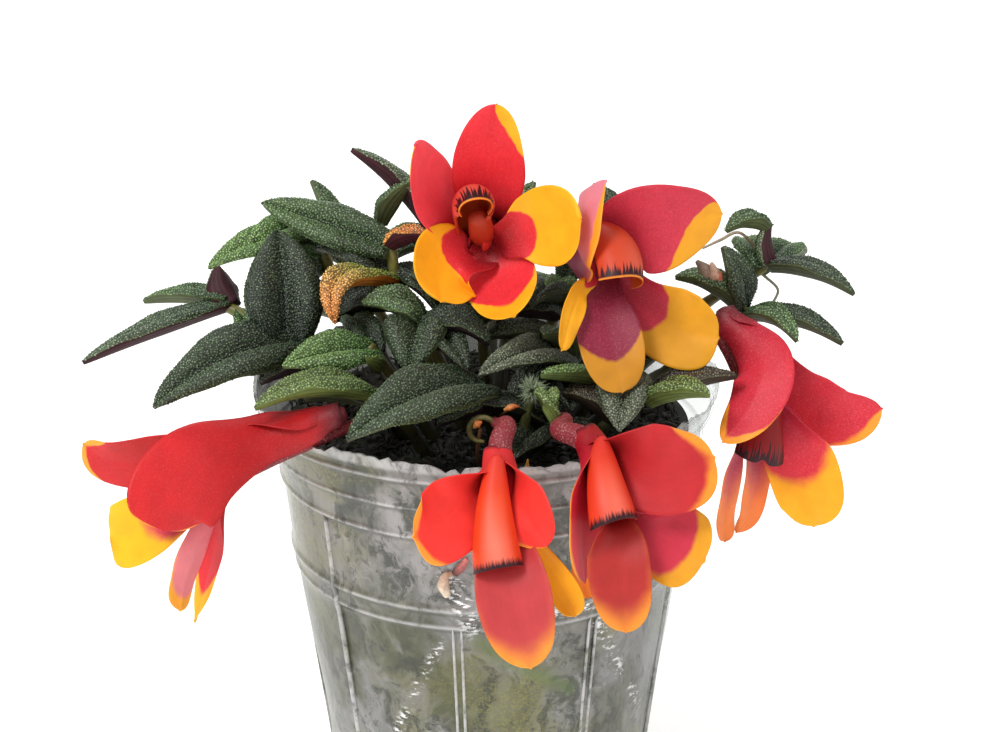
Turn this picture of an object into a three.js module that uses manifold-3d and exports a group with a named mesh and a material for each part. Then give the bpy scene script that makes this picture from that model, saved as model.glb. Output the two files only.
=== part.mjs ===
// A potted Dendrobium cuthbertsonii: a dwarf orchid in a clear, soft plastic nursery pot.
// Millimetres, +Z up, the pot's axis on Z, its base on z = 0, and the plant's front towards -Y.
import * as THREE from "three";
import { mergeVertices } from "three/addons/utils/BufferGeometryUtils.js";
import Module from "manifold-3d";

const wasm = await Module();
wasm.setup();

// Driving dimensions of the pot: the "2 1/2 inch" size, 84 mm across its flared lip and 80 mm high.
const potHeight = 80;
const rimRadius = 42;
const baseRadius = 29;
const wallThickness = 0.9;
const floorThickness = 1.2;
const potSides = 42;
const rimRaggedness = 0.5; // how far the trimmed edge strays from level
const holeCount = 6;
const holeRadius = 3;
const holeCircle = 19;
const ribAngles = [-128.5, -88.5, -48.5, -8.5, 31.5, 71.5, 111.5, 151.5, 191.5]; // degrees right of the front
const ribWidth = 1.1;
const ribHeight = 0.5;
const ribBottom = 4;
const ribTop = 49;

// Driving dimensions of what fills it and of the plant.
const mediumTop = 72.5;
const mediumGap = 0.4; // between the pot's wall and the medium
const holeClearance = 0.3; // between a stem and the hole it stands in
const stemRadius = 1.3;
const stemSteps = 4;
const petalThickness = 0.7;
const leafThickness = 2.0; // at the keel, in the middle of a leaf
const leafFold = 27; // degrees that each half of a leaf rises from flat
const bladeRows = 4; // stretches along a leaf, a sepal, a petal or a lip
const clearance = 0.4; // round a lip, between it and its flower
const sliver = 0.02; // an edge shorter than this, left by a boolean, is merged away

const vec = (p) => new THREE.Vector3(...p);
const radians = THREE.MathUtils.degToRad;

// Closed meshes and booleans

function solid(geometry) {
  const bare = new THREE.BufferGeometry();
  bare.setAttribute("position", geometry.getAttribute("position"));
  if (geometry.index) bare.setIndex(geometry.index);
  const merged = mergeVertices(bare, 1e-4);
  return new wasm.Manifold(
    new wasm.Mesh({
      numProp: 3,
      vertProperties: new Float32Array(merged.attributes.position.array),
      triVerts: new Uint32Array(merged.index.array),
    }),
  );
}

// The largest body of a solid: booleans can leave loose scraps, which are dropped.
function largest(body) {
  return body.decompose().sort((a, b) => b.volume() - a.volume())[0];
}

function fuse(bodies) {
  return largest(bodies.reduce((sum, body) => sum.add(body)));
}

// A mesh of a solid, without the slivers that booleans leave.
function meshOf(body, name, look) {
  const made = largest(body.simplify(sliver)).getMesh();
  const geometry = new THREE.BufferGeometry();
  geometry.setAttribute("position", new THREE.BufferAttribute(made.vertProperties, 3));
  geometry.setIndex(new THREE.BufferAttribute(made.triVerts, 1));
  geometry.computeVertexNormals();
  const mesh = new THREE.Mesh(geometry, new THREE.MeshStandardMaterial(look));
  mesh.name = name;
  return mesh;
}

// A closed skin over rings of points, all of one even length, with a cap across each end.
function skin(rings) {
  const count = rings[0].length;
  const positions = rings.flat().flatMap((p) => [p.x, p.y, p.z]);
  const index = [];
  for (let r = 0; r < rings.length - 1; r += 1) {
    for (let i = 0; i < count; i += 1) {
      const a = r * count + i;
      const b = r * count + ((i + 1) % count);
      index.push(a, b, a + count, b, b + count, a + count);
    }
  }
  const last = (rings.length - 1) * count;
  for (let i = 0; i < count / 2 - 1; i += 1) {
    const [a, b, c, d] = [i, i + 1, count - 2 - i, count - 1 - i];
    index.push(a, c, b, a, d, c);
    index.push(...[a, b, c, a, c, d].map((k) => k + last));
  }
  const geometry = new THREE.BufferGeometry();
  geometry.setAttribute("position", new THREE.Float32BufferAttribute(positions, 3));
  geometry.setIndex(index);
  return geometry;
}

// The parabola that passes through three points, the middle one half way along it.
function arc(start, middle, end) {
  const control = middle.clone().multiplyScalar(2).addScaledVector(start, -0.5).addScaledVector(end, -0.5);
  return new THREE.QuadraticBezierCurve3(start, control, end);
}

// A round tube through points, with a radius at its start, its middle and its end.
function tube(points, [startRadius, middleRadius, endRadius], steps, sides) {
  const path = new THREE.CatmullRomCurve3(points.map(vec));
  const frames = path.computeFrenetFrames(steps, false);
  const rings = [];
  for (let i = 0; i <= steps; i += 1) {
    const t = i / steps;
    const centre = path.getPointAt(t);
    const near = THREE.MathUtils.lerp(startRadius, middleRadius, Math.min(1, 2 * t));
    const radius = t < 0.5 ? near : THREE.MathUtils.lerp(middleRadius, endRadius, 2 * t - 1);
    rings.push(
      Array.from({ length: sides }, (_, k) => {
        const angle = (2 * Math.PI * k) / sides;
        return centre
          .clone()
          .addScaledVector(frames.normals[i], radius * Math.cos(angle))
          .addScaledVector(frames.binormals[i], radius * Math.sin(angle));
      }),
    );
  }
  return solid(skin(rings));
}

// Blades: sepals, petals and lips

// Half the width of a blade at s along it, as a share of its widest: it swells from its base,
// is widest at `widest`, and closes to the tip as a superellipse.
function halfWidth({ base, widest, bluntness }, s) {
  if (s <= widest) return base + (1 - base) * Math.sin((Math.PI / 2) * (s / widest));
  const beyond = (s - widest) / (1 - widest);
  return Math.max(0.07, (1 - beyond ** bluntness) ** (1 / bluntness));
}

const outlines = {
  sepal: { base: 0.5, widest: 0.5, bluntness: 1.9 },
  petal: { base: 0.3, widest: 0.6, bluntness: 2.2 },
  lip: { base: 0.45, widest: 1, bluntness: 2 },
  leaf: { base: 0.55, widest: 0.42, bluntness: 1.4 },
};

// Two grids of points alike, a front and a back, closed into one body by walls round their borders.
function slab(front, back) {
  const rows = front.length - 1;
  const columns = front[0].length - 1;
  const positions = [...front.flat(), ...back.flat()].flatMap((p) => [p.x, p.y, p.z]);
  const backStart = (rows + 1) * (columns + 1);
  const at = (r, c) => r * (columns + 1) + c;
  const index = [];
  for (let r = 0; r < rows; r += 1) {
    for (let c = 0; c < columns; c += 1) {
      const [a, b, d, e] = [at(r, c), at(r, c + 1), at(r + 1, c), at(r + 1, c + 1)];
      index.push(a, b, e, a, e, d);
      index.push(...[b, a, e, e, a, d].map((i) => i + backStart));
    }
  }
  const border = [];
  for (let c = 0; c < columns; c += 1) border.push(at(0, c));
  for (let r = 0; r < rows; r += 1) border.push(at(r, columns));
  for (let c = columns; c > 0; c -= 1) border.push(at(rows, c));
  for (let r = rows; r > 0; r -= 1) border.push(at(r, 0));
  border.forEach((a, i) => {
    const b = border[(i + 1) % border.length];
    index.push(b, a, a + backStart, b, a + backStart, b + backStart);
  });
  const geometry = new THREE.BufferGeometry();
  geometry.setAttribute("position", new THREE.Float32BufferAttribute(positions, 3));
  geometry.setIndex(index);
  return geometry;
}

// A blade along the parabola root-middle-tip. `faces` points out of its inner side, and its edges
// curl towards that side by `curl` radians. `margin` grows it on every side, for a gap.
function blade({ root, middle, tip, width, faces, curl, outline, columns, margin }) {
  const line = arc(vec(root), vec(middle), vec(tip));
  const thickness = petalThickness + 2 * margin;
  const front = [];
  const back = [];
  for (let r = 0; r <= bladeRows; r += 1) {
    const s = Math.sin((Math.PI / 2) * (r / bladeRows));
    const along = line.getTangent(s);
    const centre = line.getPoint(s).addScaledVector(along, (2 * s - 1) * margin);
    const across = new THREE.Vector3().crossVectors(along, vec(faces)).normalize();
    const inward = new THREE.Vector3().crossVectors(across, along).normalize();
    const half = (width / 2) * halfWidth(outlines[outline], s) + margin;
    const radius = width / 2 / curl;
    front.push([]);
    back.push([]);
    for (let c = 0; c <= columns; c += 1) {
      const angle = ((half / radius) * (2 * c)) / columns - half / radius;
      const normal = inward
        .clone()
        .multiplyScalar(Math.cos(angle))
        .addScaledVector(across, -Math.sin(angle));
      const point = centre
        .clone()
        .addScaledVector(across, radius * Math.sin(angle))
        .addScaledVector(inward, radius * (1 - Math.cos(angle)));
      front[r].push(point.clone().addScaledVector(normal, thickness / 2));
      back[r].push(point.addScaledVector(normal, -thickness / 2));
    }
  }
  return solid(slab(front, back));
}

// The blooms. Each stands upside down, as the species' do: the two lateral sepals above, the dorsal
// sepal hanging, the lip a hood between them. A blade is [root, middle, tip, width, where its inner
// side faces]; spur and ovary are lists of points.
const blooms = [
  {
    name: "top",
    spur: [[0, 7, 107], [0, -3, 110.5], [0.5, -13, 109]],
    ovary: [[0.5, -11, 106], [-1, -4, 102], [-4, 3, 97], [-6, 7, 95]],
    lip: [[-0.5, -14, 112.5], [-1, -18, 119.5], [-1.5, -24, 119.5], 17, [0, 0.3, -1]],
    leftSepal: [[-1, -8, 111], [-10, -14, 117], [-11, -24, 130], 14, [0.75, -0.6, 0.2]],
    rightSepal: [[1.5, -8, 112], [3, -13, 122], [1, -19, 135], 13.5, [-0.1, -0.9, -0.35]],
    leftPetal: [[-1, -12, 108], [-6, -16, 107], [-8.5, -25, 105.5], 15.5, [0.65, -0.6, 0.5]],
    rightPetal: [[2, -12, 110], [9.5, -18, 113], [16.5, -27, 117], 14.5, [-0.1, -0.95, 0.25]],
    dorsalSepal: [[1, -12, 108], [3, -16, 104], [5, -27, 102], 13.5, [-0.1, -0.95, 0.25]],
  },
  {
    name: "upper_right",
    spur: [[13, 5, 104], [16.5, -5, 107], [20.5, -13.5, 105.5]],
    ovary: [[19, -11, 104], [18.5, -6, 100], [17, -6, 94], [16, -8, 89]],
    lip: [[21.2, -16.8, 113.2], [25.5, -21.3, 112.3], [25.5, -27, 105.5], 17, [-0.6, 0.4, -0.6]],
    leftSepal: [[19, -10, 109], [16, -14, 114], [20, -22, 122], 13, [0.93, 0.2, -0.3]],
    rightSepal: [[21, -11, 110], [28.5, -15, 113], [41, -14, 114.5], 17, [-0.1, -1, -0.1]],
    leftPetal: [[18, -13, 104], [14, -20, 101], [13, -28, 96], 12, [0.9, -0.35, 0]],
    rightPetal: [[21, -13, 103.5], [30, -18, 100], [41, -20, 95.5], 14, [-0.1, -0.9, 0.3]],
    dorsalSepal: [[19.5, -13, 102.5], [22, -19, 94.5], [24, -25, 86.5], 12, [0, -0.85, 0.5]],
  },
  {
    name: "left",
    spur: [[-23, -32, 86], [-33.5, -33, 82], [-44, -34.5, 75.5]],
    ovary: [[-42, -34, 74], [-33, -33, 78.9], [-23, -29, 83], [-18, -23.3, 84]],
    lip: [[-46, -35, 78.7], [-54, -36, 77], [-56, -39, 70], 15, [0.4, 0, -0.9]],
    leftSepal: [[-37, -36, 84], [-49, -46, 81], [-49, -50, 70], 15, [-0.5, 0.8, -0.3]],
    rightSepal: [[-38, -32, 84], [-54, -29, 80.5], [-68, -27, 78.5], 13, [-0.2, -0.6, -0.75]],
    leftPetal: [[-42.5, -36, 75.5], [-46.5, -44.5, 67.5], [-51, -48, 58], 11, [-0.8, 0.5, -0.1]],
    rightPetal: [[-43, -33, 75.5], [-55, -30, 68], [-64, -28, 62], 12, [-0.5, -0.8, 0.3]],
    dorsalSepal: [[-42, -34, 76], [-44.5, -36, 62.5], [-49, -38, 51.5], 11, [-0.85, -0.3, 0.2]],
  },
  {
    name: "front_left",
    spur: [[3, -37, 87], [2.5, -44.5, 84.5], [2.5, -50.5, 74.5]],
    ovary: [[2.5, -48, 76], [2.5, -43.5, 82.4], [2, -34, 81.8], [0.8, -19, 79.5]],
    lip: [[2, -51, 84.5], [0.5, -58, 82.5], [2, -63, 72.5], 15, [0, 0.6, -0.8]],
    leftSepal: [[1.5, -44, 84.5], [-5.5, -55, 79.5], [-9, -61, 73.5], 14.5, [0.35, -0.85, 0.35]],
    rightSepal: [[3.5, -44, 84.5], [9, -51, 79.5], [9.5, -55, 71], 13, [-0.8, -0.5, 0.2]],
    leftPetal: [[1, -50, 75.5], [-1, -56, 69], [-2, -60, 64], 9, [0.8, -0.5, 0.1]],
    rightPetal: [[4, -50, 75.5], [10, -57, 66.5], [12.5, -61, 61], 10, [-0.75, -0.6, 0.2]],
    dorsalSepal: [[2.5, -49.5, 75], [4, -59.5, 63], [7, -60, 53], 12.5, [-0.1, -0.9, 0.4]],
  },
  {
    name: "front_right",
    spur: [[11.5, -34, 87], [15.5, -42, 85.5], [20, -48.5, 76]],
    ovary: [[19, -46.5, 78], [16, -41, 82.9], [13.5, -31, 83], [12, -20, 80.5]],
    lip: [[20, -49, 87], [22, -56, 85], [22, -59.5, 78], 15, [-0.2, 0.6, -0.75]],
    leftSepal: [[17, -43, 85.5], [14.5, -52, 77], [15.5, -56, 64], 14, [0.9, -0.3, 0.1]],
    rightSepal: [[20, -42, 86.5], [26.5, -50, 84.3], [36, -52, 85], 16, [-0.2, -0.9, 0.2]],
    leftPetal: [[18.5, -48, 76.5], [17.5, -53, 69], [18.5, -55, 62], 9, [0.8, -0.5, 0]],
    rightPetal: [[21, -48, 77], [28, -50, 70.5], [35, -52, 68.5], 12.5, [-0.1, -0.9, 0.35]],
    dorsalSepal: [[19.5, -48, 76.5], [21, -57, 66], [23, -57.5, 57.5], 12.5, [0, -0.9, 0.4]],
  },
  {
    name: "right",
    spur: [[41.5, -6.5, 95], [45, -10.5, 89.5], [48.3, -14, 80]],
    ovary: [[46, -14, 80], [43, -9.5, 86], [41, -5, 89], [42, -0.7, 88.7]],
    lip: [[50, -15, 85], [51.5, -19, 80], [49, -21.5, 72], 15, [-0.3, 0.6, -0.7]],
    leftSepal: [[44, -10, 92], [49, -19, 87], [42, -23, 76.5], 14, [0.5, 0.75, -0.4]],
    rightSepal: [[47, -9, 91], [59, -9, 80.5], [69.5, -11, 75.5], 14, [-0.2, -0.75, -0.6]],
    leftPetal: [[46.5, -14.5, 81], [43.5, -18, 70], [41.5, -20, 59.5], 10, [0.7, -0.6, 0.2]],
    rightPetal: [[49.5, -13, 81], [56, -15, 66.5], [59.5, -18, 60.5], 13, [-0.1, -0.9, 0.35]],
    dorsalSepal: [[47.5, -13, 81], [49, -14, 67.5], [43, -17, 58], 11, [0.85, -0.45, 0]],
  },
];

const spurRadii = [1.9, 3.1, 3.6];
const ovaryRadii = [1.4, 1.0, 0.8];
const sepalCurl = 0.35;
const petalCurl = 0.3;
const lipCurl = 1.7;

function petalOf([root, middle, tip, width, faces], outline, curl, margin = 0) {
  const columns = outline === "lip" ? 5 : 3;
  return blade({ root, middle, tip, width, faces, curl, outline, columns, margin });
}

function bloomParts(bloom) {
  const lip = petalOf(bloom.lip, "lip", lipCurl);
  const lipAndGap = petalOf(bloom.lip, "lip", lipCurl, clearance);
  const flower = fuse([
    tube(bloom.spur, spurRadii, 4, 8),
    tube(bloom.ovary, ovaryRadii, 4, 6),
    petalOf(bloom.leftSepal, "sepal", sepalCurl),
    petalOf(bloom.rightSepal, "sepal", sepalCurl),
    petalOf(bloom.dorsalSepal, "sepal", sepalCurl),
    petalOf(bloom.leftPetal, "petal", petalCurl),
    petalOf(bloom.rightPetal, "petal", petalCurl),
  ]);
  const free = [lipAndGap, lip, ...stemHoles].reduce((body, near) => body.subtract(near), flower);
  return { lip, flower: largest(free) };
}

// Leafy shoots

// A leaf from base to tip, folded along its midrib like a boat. `arch` is how far its middle rises
// from the straight line, or the middle point itself. `turn` rolls its upper side away from the sky.
function leaf([base, tip, width, arch, turn = 0]) {
  const chord = vec(tip).sub(vec(base)).normalize();
  const level = new THREE.Vector3().crossVectors(chord, new THREE.Vector3(0, 0, 1)).normalize();
  const rise = new THREE.Vector3().crossVectors(level, chord).applyAxisAngle(chord, radians(turn));
  const halfWay = vec(base).add(vec(tip)).multiplyScalar(0.5);
  const middle = Array.isArray(arch) ? vec(arch) : halfWay.addScaledVector(rise, arch);
  const line = arc(vec(base), middle, vec(tip));
  const rings = [];
  for (let r = 0; r <= bladeRows; r += 1) {
    const s = Math.sin((Math.PI / 2) * (r / bladeRows));
    const share = halfWidth(outlines.leaf, s);
    const half = (width / 2) * share;
    const along = line.getTangent(s);
    const across = new THREE.Vector3().crossVectors(along, rise).normalize();
    const upward = new THREE.Vector3().crossVectors(across, along).normalize();
    const at = (x, z) => line.getPoint(s).addScaledVector(across, x).addScaledVector(upward, z);
    const edge = half * Math.tan(radians(leafFold));
    rings.push([at(0, 0), at(half, edge), at(0, -leafThickness * (0.35 + 0.65 * share)), at(-half, edge)]);
  }
  return solid(skin(rings));
}

// The shoots. Each is a stem through points and its leaves, which are
// [base, tip, width, arch of the middle, turn of the upper side in degrees].
const shoots = [
  {
    name: "far_left",
    stem: [[-8, -3, 66], [-24, -6, 82], [-38, -1, 90], [-47, 2, 94]],
    leaves: [
      [[-46, 2, 94], [-71, -8, 87], 8, 2.5],
      [[-46, 2, 94.5], [-63, 15, 90], 7.5, 2],
      [[-45, 2, 94], [-50, 6, 101], 8, 1, 180],
      [[-44, 1, 93], [-42, -3, 87], 4, 1],
    ],
  },
  {
    name: "left",
    stem: [[-10, -7, 66], [-20, -11, 80], [-28, -12, 87], [-34, -12, 91]],
    leaves: [
      [[-33, -12, 91], [-56, -26, 85], 10, 4, -25],
      [[-34, -12, 91], [-34.5, -4, 109.5], 14, 2],
      [[-29, -12, 87], [-39, -17, 86], 7, 1.5],
    ],
  },
  {
    name: "upper_left",
    stem: [[-6, 0, 66], [-10, -2, 85], [-15, -4, 97], [-16.5, -4, 108]],
    leaves: [
      [[-16.5, -4, 106], [-39, 0, 114], 9, 2, -45],
      [[-16, -4, 100], [-25.5, -16.5, 96.3], 6.5, [-24.5, -13, 103]],
      [[-16, -4, 99], [-30, 0, 105], 8, 3, -20],
      [[-16.5, -5, 107], [-10, -9, 110], 5, 1],
      [[-14, -3, 94], [-26, 5, 99], 8, 2],
    ],
  },
  {
    name: "behind_left",
    stem: [[-10, 3, 66], [-20, 7, 84], [-27, 7, 96], [-30, 6, 107]],
    leaves: [
      [[-30, 6, 107], [-43, -1, 104], 8, 4, -30],
      [[-30, 5, 103], [-49, 0, 101.5], 8, 4, -30],
      [[-29, 7, 98], [-41, 15, 102], 8, 3],
      [[-26, 6, 93], [-20, 16, 96], 8, 2],
    ],
  },
  {
    name: "tall_left",
    stem: [[-3, 6, 66], [-5, 7, 88], [-8, 7, 105]],
    leaves: [
      [[-8, 7, 104], [-23, 4, 122], 7, 2],
      [[-8, 8, 102], [-12, 15, 115.5], 7, 2],
      [[-8, 7, 101], [-17, 2, 107], 6, 2],
      [[-7, 8, 98], [-7, 20, 106], 8, 3],
    ],
  },
  {
    name: "front_left_upper",
    stem: [[-6, -8, 66], [-14, -13, 82], [-20, -15, 92]],
    leaves: [
      [[-19, -15, 90.5], [-34, -24, 91.5], 9, 1, -25],
      [[-19, -14, 90], [-25, -4, 93], 7, 2],
      [[-18, -15, 88], [-20, -22, 92], 3, 0.5],
    ],
  },
  {
    name: "front_left_lower",
    stem: [[-8, -15, 66], [-14, -21, 80], [-20, -24, 86]],
    leaves: [
      [[-19, -24, 86], [-37.8, -35.8, 88.6], 8, 2.7],
      [[-20, -24, 85], [-31, -20, 84], 7, 1.5],
    ],
  },
  {
    name: "front",
    stem: [[2, -13, 66], [1, -18, 78], [0, -21, 86]],
    leaves: [
      [[0, -20.5, 85], [-22.5, -39, 84], 13, 3, -15],
      [[1, -20, 83], [-8, -25, 81], 7, 1],
    ],
  },
  {
    name: "middle_left",
    stem: [[-2, -5, 66], [-7, -9, 84], [-11, -12, 95]],
    leaves: [
      [[-11, -12, 94], [-12.5, -22, 89], 11, 3],
      [[-11, -12.5, 94.5], [1, -17, 92.5], 8, 2.6],
      [[-11, -12, 95], [-21, -13, 99], 8, 2, -15],
      [[-10, -12, 92], [-3, -23, 90], 7, 2],
    ],
  },
  {
    name: "middle",
    stem: [[0, -2, 66], [0, -4, 84], [-1, -6, 95]],
    leaves: [
      [[-1, -6, 94], [-13, -7.6, 102.3], 8, 2.4, -30],
      [[-1, -6, 93], [5, -17, 97.5], 8, 2],
      [[-1, -6, 94], [10, -4, 101], 8, 2],
      [[-1, -5, 91], [-12, 0, 97], 8, 2],
    ],
  },
  {
    name: "middle_right",
    stem: [[6, -4, 66], [12, -6, 80], [16, -8, 89]],
    leaves: [
      [[14.5, -7.5, 85.5], [-1, -28, 91], 8, 3, -20],
      [[14.5, -7, 85.5], [0, -11, 92], 8, 3],
      [[14.5, -7.5, 85.5], [10, -16, 94], 7, 2],
    ],
  },
  {
    name: "right_low",
    stem: [[10, -7, 66], [19, -10, 80], [26, -13, 87]],
    leaves: [
      [[25, -13, 84], [22.5, -29, 81], 10, 2],
      [[26, -13, 87], [31, -9, 98], 8, 2],
      [[26, -13, 86], [37, -9, 91], 8, 2],
    ],
  },
  {
    name: "front_right",
    stem: [[14, -13, 66], [21, -18, 78], [27, -20, 83]],
    leaves: [
      [[27, -20, 83], [39, -24, 87], 7, 1.5],
      [[28, -20, 82], [36.5, -33, 85], 7, 2],
    ],
  },
  {
    name: "far_right",
    stem: [[12, 5, 66], [28, 8, 82], [42, 7, 93], [51, 4, 100]],
    leaves: [
      [[50, 3, 99], [54, 4, 111], 6, 1, 180],
      [[54, 4, 110], [43, 0, 109], 6, 3],
      [[51, 3, 100], [65, -6, 97.5], 7, 2],
      [[50, 4, 99], [59, 16, 98], 7, 2],
      [[50, 4, 99], [47, 14, 103], 7, 2],
    ],
  },
  {
    name: "right",
    stem: [[12, -3, 66], [26, -3, 78], [40, -1, 87], [47, 0, 93]],
    leaves: [
      [[45.5, 0, 93], [42.5, 2, 104], 8, 1],
      [[45.5, 0.5, 93], [36, 1, 96.5], 7, 2],
      [[47, 0, 92], [63, -8, 89], 8, 4],
      [[47, -1, 92], [55, -11, 91.5], 7, 3],
      [[38, -1.5, 85.5], [33, -11, 84.5], 6, 2],
    ],
  },
  {
    name: "front_low",
    stem: [[7, -13, 66], [10, -17, 76], [12, -20, 80]],
    leaves: [
      [[10.5, -18, 77], [4, -31, 76.5], 7, 1],
      [[10.5, -18, 77], [20, -27, 77.5], 7, 1],
    ],
  },
  {
    name: "centre",
    stem: [[5, 2, 66], [10, 3, 84], [15, 4, 97]],
    leaves: [
      [[15, 3, 96], [11, -4, 102], 7, 2],
      [[15, 4, 97], [22, 10, 104], 8, 2],
      [[14, 3, 93], [28, -2, 96], 8, 2],
      [[13, 3, 91], [2, -4, 92], 8, 2],
      [[14, 3, 94], [8, -9, 97], 7, 2],
    ],
  },
  {
    name: "back_centre",
    stem: [[2, 9, 66], [4, 13, 86], [6, 13, 101]],
    leaves: [
      [[6, 12, 100], [9, 14, 113], 7, 1],
      [[6, 13, 99], [2, 27, 103], 8, 2],
      [[6, 13, 99], [14, 24, 101], 8, 3],
    ],
  },
  {
    name: "back_right",
    stem: [[9, 7, 66], [19, 13, 84], [26, 15, 97]],
    leaves: [
      [[26, 14, 96], [20, 16, 112], 9, 2],
      [[26, 15, 97], [38, 12, 102], 8, 2],
      [[26, 16, 95], [34, 28, 96], 8, 3],
      [[24, 15, 92], [20, 27, 93], 8, 2],
    ],
  },
  {
    name: "back_left",
    stem: [[-8, 9, 66], [-18, 17, 84], [-26, 21, 96]],
    leaves: [
      [[-26, 21, 96], [-32, 24, 111], 7, 1],
      [[-26, 21, 96], [-40, 28, 95], 8, 3],
      [[-25, 22, 93], [-22, 35, 94], 8, 3],
      [[-24, 20, 92], [-12, 24, 98], 8, 2],
    ],
  },
  {
    name: "back_low",
    stem: [[1, 15, 66], [1, 24, 78], [2, 28, 84]],
    leaves: [
      [[2, 28, 84], [-8, 41, 84], 8, 3],
      [[2, 28, 84], [14, 39, 85], 8, 3],
      [[2, 27, 84], [6, 35, 94], 8, 2],
    ],
  },
  {
    name: "back_low_left",
    stem: [[-13, 13, 66], [-22, 24, 77], [-25, 29, 81]],
    leaves: [
      [[-25, 29, 81], [-31, 41, 80], 8, 3],
      [[-25, 29, 81], [-39, 33, 83], 8, 2],
      [[-25, 29, 81], [-15, 37, 85], 8, 2],
    ],
  },
  {
    name: "back_low_right",
    stem: [[16, 12, 66], [25, 19, 77], [30, 21, 81]],
    leaves: [
      [[30, 21, 81], [42, 21, 84], 8, 2],
      [[30, 21, 81], [38, 33, 80], 8, 3],
      [[30, 21, 81], [24, 33, 84], 8, 2],
    ],
  },
];

function shootBody({ stem, leaves }) {
  const top = 0.8 * stemRadius;
  return fuse([tube(stem, [stemRadius, stemRadius, top], stemSteps, 6), ...leaves.map(leaf)]);
}

// A line of points, longer at each end.
function lengthened(points, extra) {
  const grown = points.map(vec);
  const [first, second] = grown;
  const [lastButOne, last] = grown.slice(-2);
  const before = first.clone().sub(second).setLength(extra).add(first);
  const after = last.clone().sub(lastButOne).setLength(extra).add(last);
  return [before, ...grown.slice(1, -1), after].map((p) => p.toArray());
}

// Each stem grown on all sides: the hole it stands in, and the gap to a bloom that it bears.
const stemHoles = shoots.map(({ stem }) => {
  const radius = stemRadius + holeClearance;
  return tube(lengthened(stem, holeClearance), [radius, radius, radius], stemSteps, 6);
});

// The pot

const wallProfile = [
  [baseRadius, 0],
  [baseRadius + 3.9, 30],
  [35.6, 49.6],
  [36.3, 50.8],
  [35.9, 52],
  [37.3, 64.2],
  [37.9, 64.8],
  [37.6, 65.4],
  [38.8, 70.1],
  [39.4, 70.7],
  [39.2, 71.3],
  [40.6, 75.8],
  [41.3, 76.4],
  [41, 77],
  [rimRadius, potHeight],
];

function outerRadius(z) {
  const k = wallProfile.findIndex(([, height]) => height >= z);
  if (k <= 0) return wallProfile[0][0];
  const [[r0, z0], [r1, z1]] = [wallProfile[k - 1], wallProfile[k]];
  return r0 + ((r1 - r0) * (z - z0)) / (z1 - z0);
}

// The wall was trimmed by hand: its edge wanders by a few tenths of a millimetre.
function raggedEdge(geometry) {
  const position = geometry.getAttribute("position");
  for (let i = 0; i < position.count; i += 1) {
    const [x, y, z] = [position.getX(i), position.getY(i), position.getZ(i)];
    if (z < potHeight - 1) continue;
    const angle = Math.atan2(y, x);
    const wave = Math.sin(9 * angle + 1) + 0.7 * Math.sin(17 * angle) + 0.5 * Math.cos(23 * angle);
    position.setZ(i, z + 0.5 * rimRaggedness * wave);
  }
}

function lathe(profile, sides) {
  const points = profile.map(([r, z]) => new THREE.Vector2(r, z));
  return new THREE.LatheGeometry(points, sides).rotateX(Math.PI / 2);
}

function potBody() {
  const inner = [
    [rimRadius - 0.7, potHeight],
    [outerRadius(76) - wallThickness, 76],
    [outerRadius(64) - wallThickness, 64],
    [outerRadius(49) - wallThickness, 49],
    [baseRadius - wallThickness + 0.2, floorThickness],
  ];
  const shell = lathe([[0, 0], ...wallProfile, ...inner, [0, floorThickness]], potSides);
  raggedEdge(shell);
  const ribs = ribAngles.map((degrees) => {
    const [low, high] = [outerRadius(ribBottom), outerRadius(ribTop)];
    const rise = new THREE.Vector2(high - low, ribTop - ribBottom);
    const rib = new THREE.BoxGeometry(ribWidth, 2 * ribHeight, rise.length());
    rib.rotateX(Math.atan2(rise.x, rise.y));
    rib.translate(0, -(low + high) / 2, (ribBottom + ribTop) / 2);
    return solid(rib.rotateZ(radians(degrees)));
  });
  const holes = Array.from({ length: holeCount }, (_, k) => {
    const angle = (2 * Math.PI * (k + 0.5)) / holeCount;
    const drill = new THREE.CylinderGeometry(holeRadius, holeRadius, 4 * floorThickness, 10);
    drill.rotateX(Math.PI / 2);
    drill.translate(holeCircle * Math.cos(angle), holeCircle * Math.sin(angle), 0);
    return solid(drill);
  });
  return holes.reduce((pot, hole) => pot.subtract(hole), fuse([solid(shell), ...ribs]));
}

// The sphagnum and bark that fill it, bumpy on top, with a plain hole for each stem.
function mediumBody() {
  const inside = (z) => outerRadius(z) - wallThickness - mediumGap;
  const bottom = floorThickness + mediumGap;
  const profile = [
    [0, bottom],
    [inside(bottom) - 0.5, bottom],
    [inside(48) - 0.4, 48],
    [inside(63) - 0.4, 63],
    [inside(mediumTop) - 1.2, mediumTop],
    [17, mediumTop],
    [0, mediumTop],
  ];
  const fill = lathe(profile, 24);
  const position = fill.getAttribute("position");
  for (let i = 0; i < position.count; i += 1) {
    const [x, y, z] = [position.getX(i), position.getY(i), position.getZ(i)];
    if (z < mediumTop - 1 || Math.hypot(x, y) > 30) continue;
    position.setZ(i, z + 1.1 * Math.sin(0.7 * x + 2) * Math.cos(0.6 * y) + 0.5);
  }
  return stemHoles.reduce((body, hole) => body.subtract(hole), solid(fill));
}

// The materials' colours, as the photo shows them.
const looks = {
  pot: { color: 0xb4b8b5, roughness: 0.25, metalness: 0 },
  medium: { color: 0x2a2620, roughness: 0.95, metalness: 0 },
  leaf: { color: 0x37543c, roughness: 0.6, metalness: 0 },
  flower: { color: 0xd92a35, roughness: 0.45, metalness: 0 },
  lip: { color: 0xdd4a26, roughness: 0.4, metalness: 0 },
};

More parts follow.
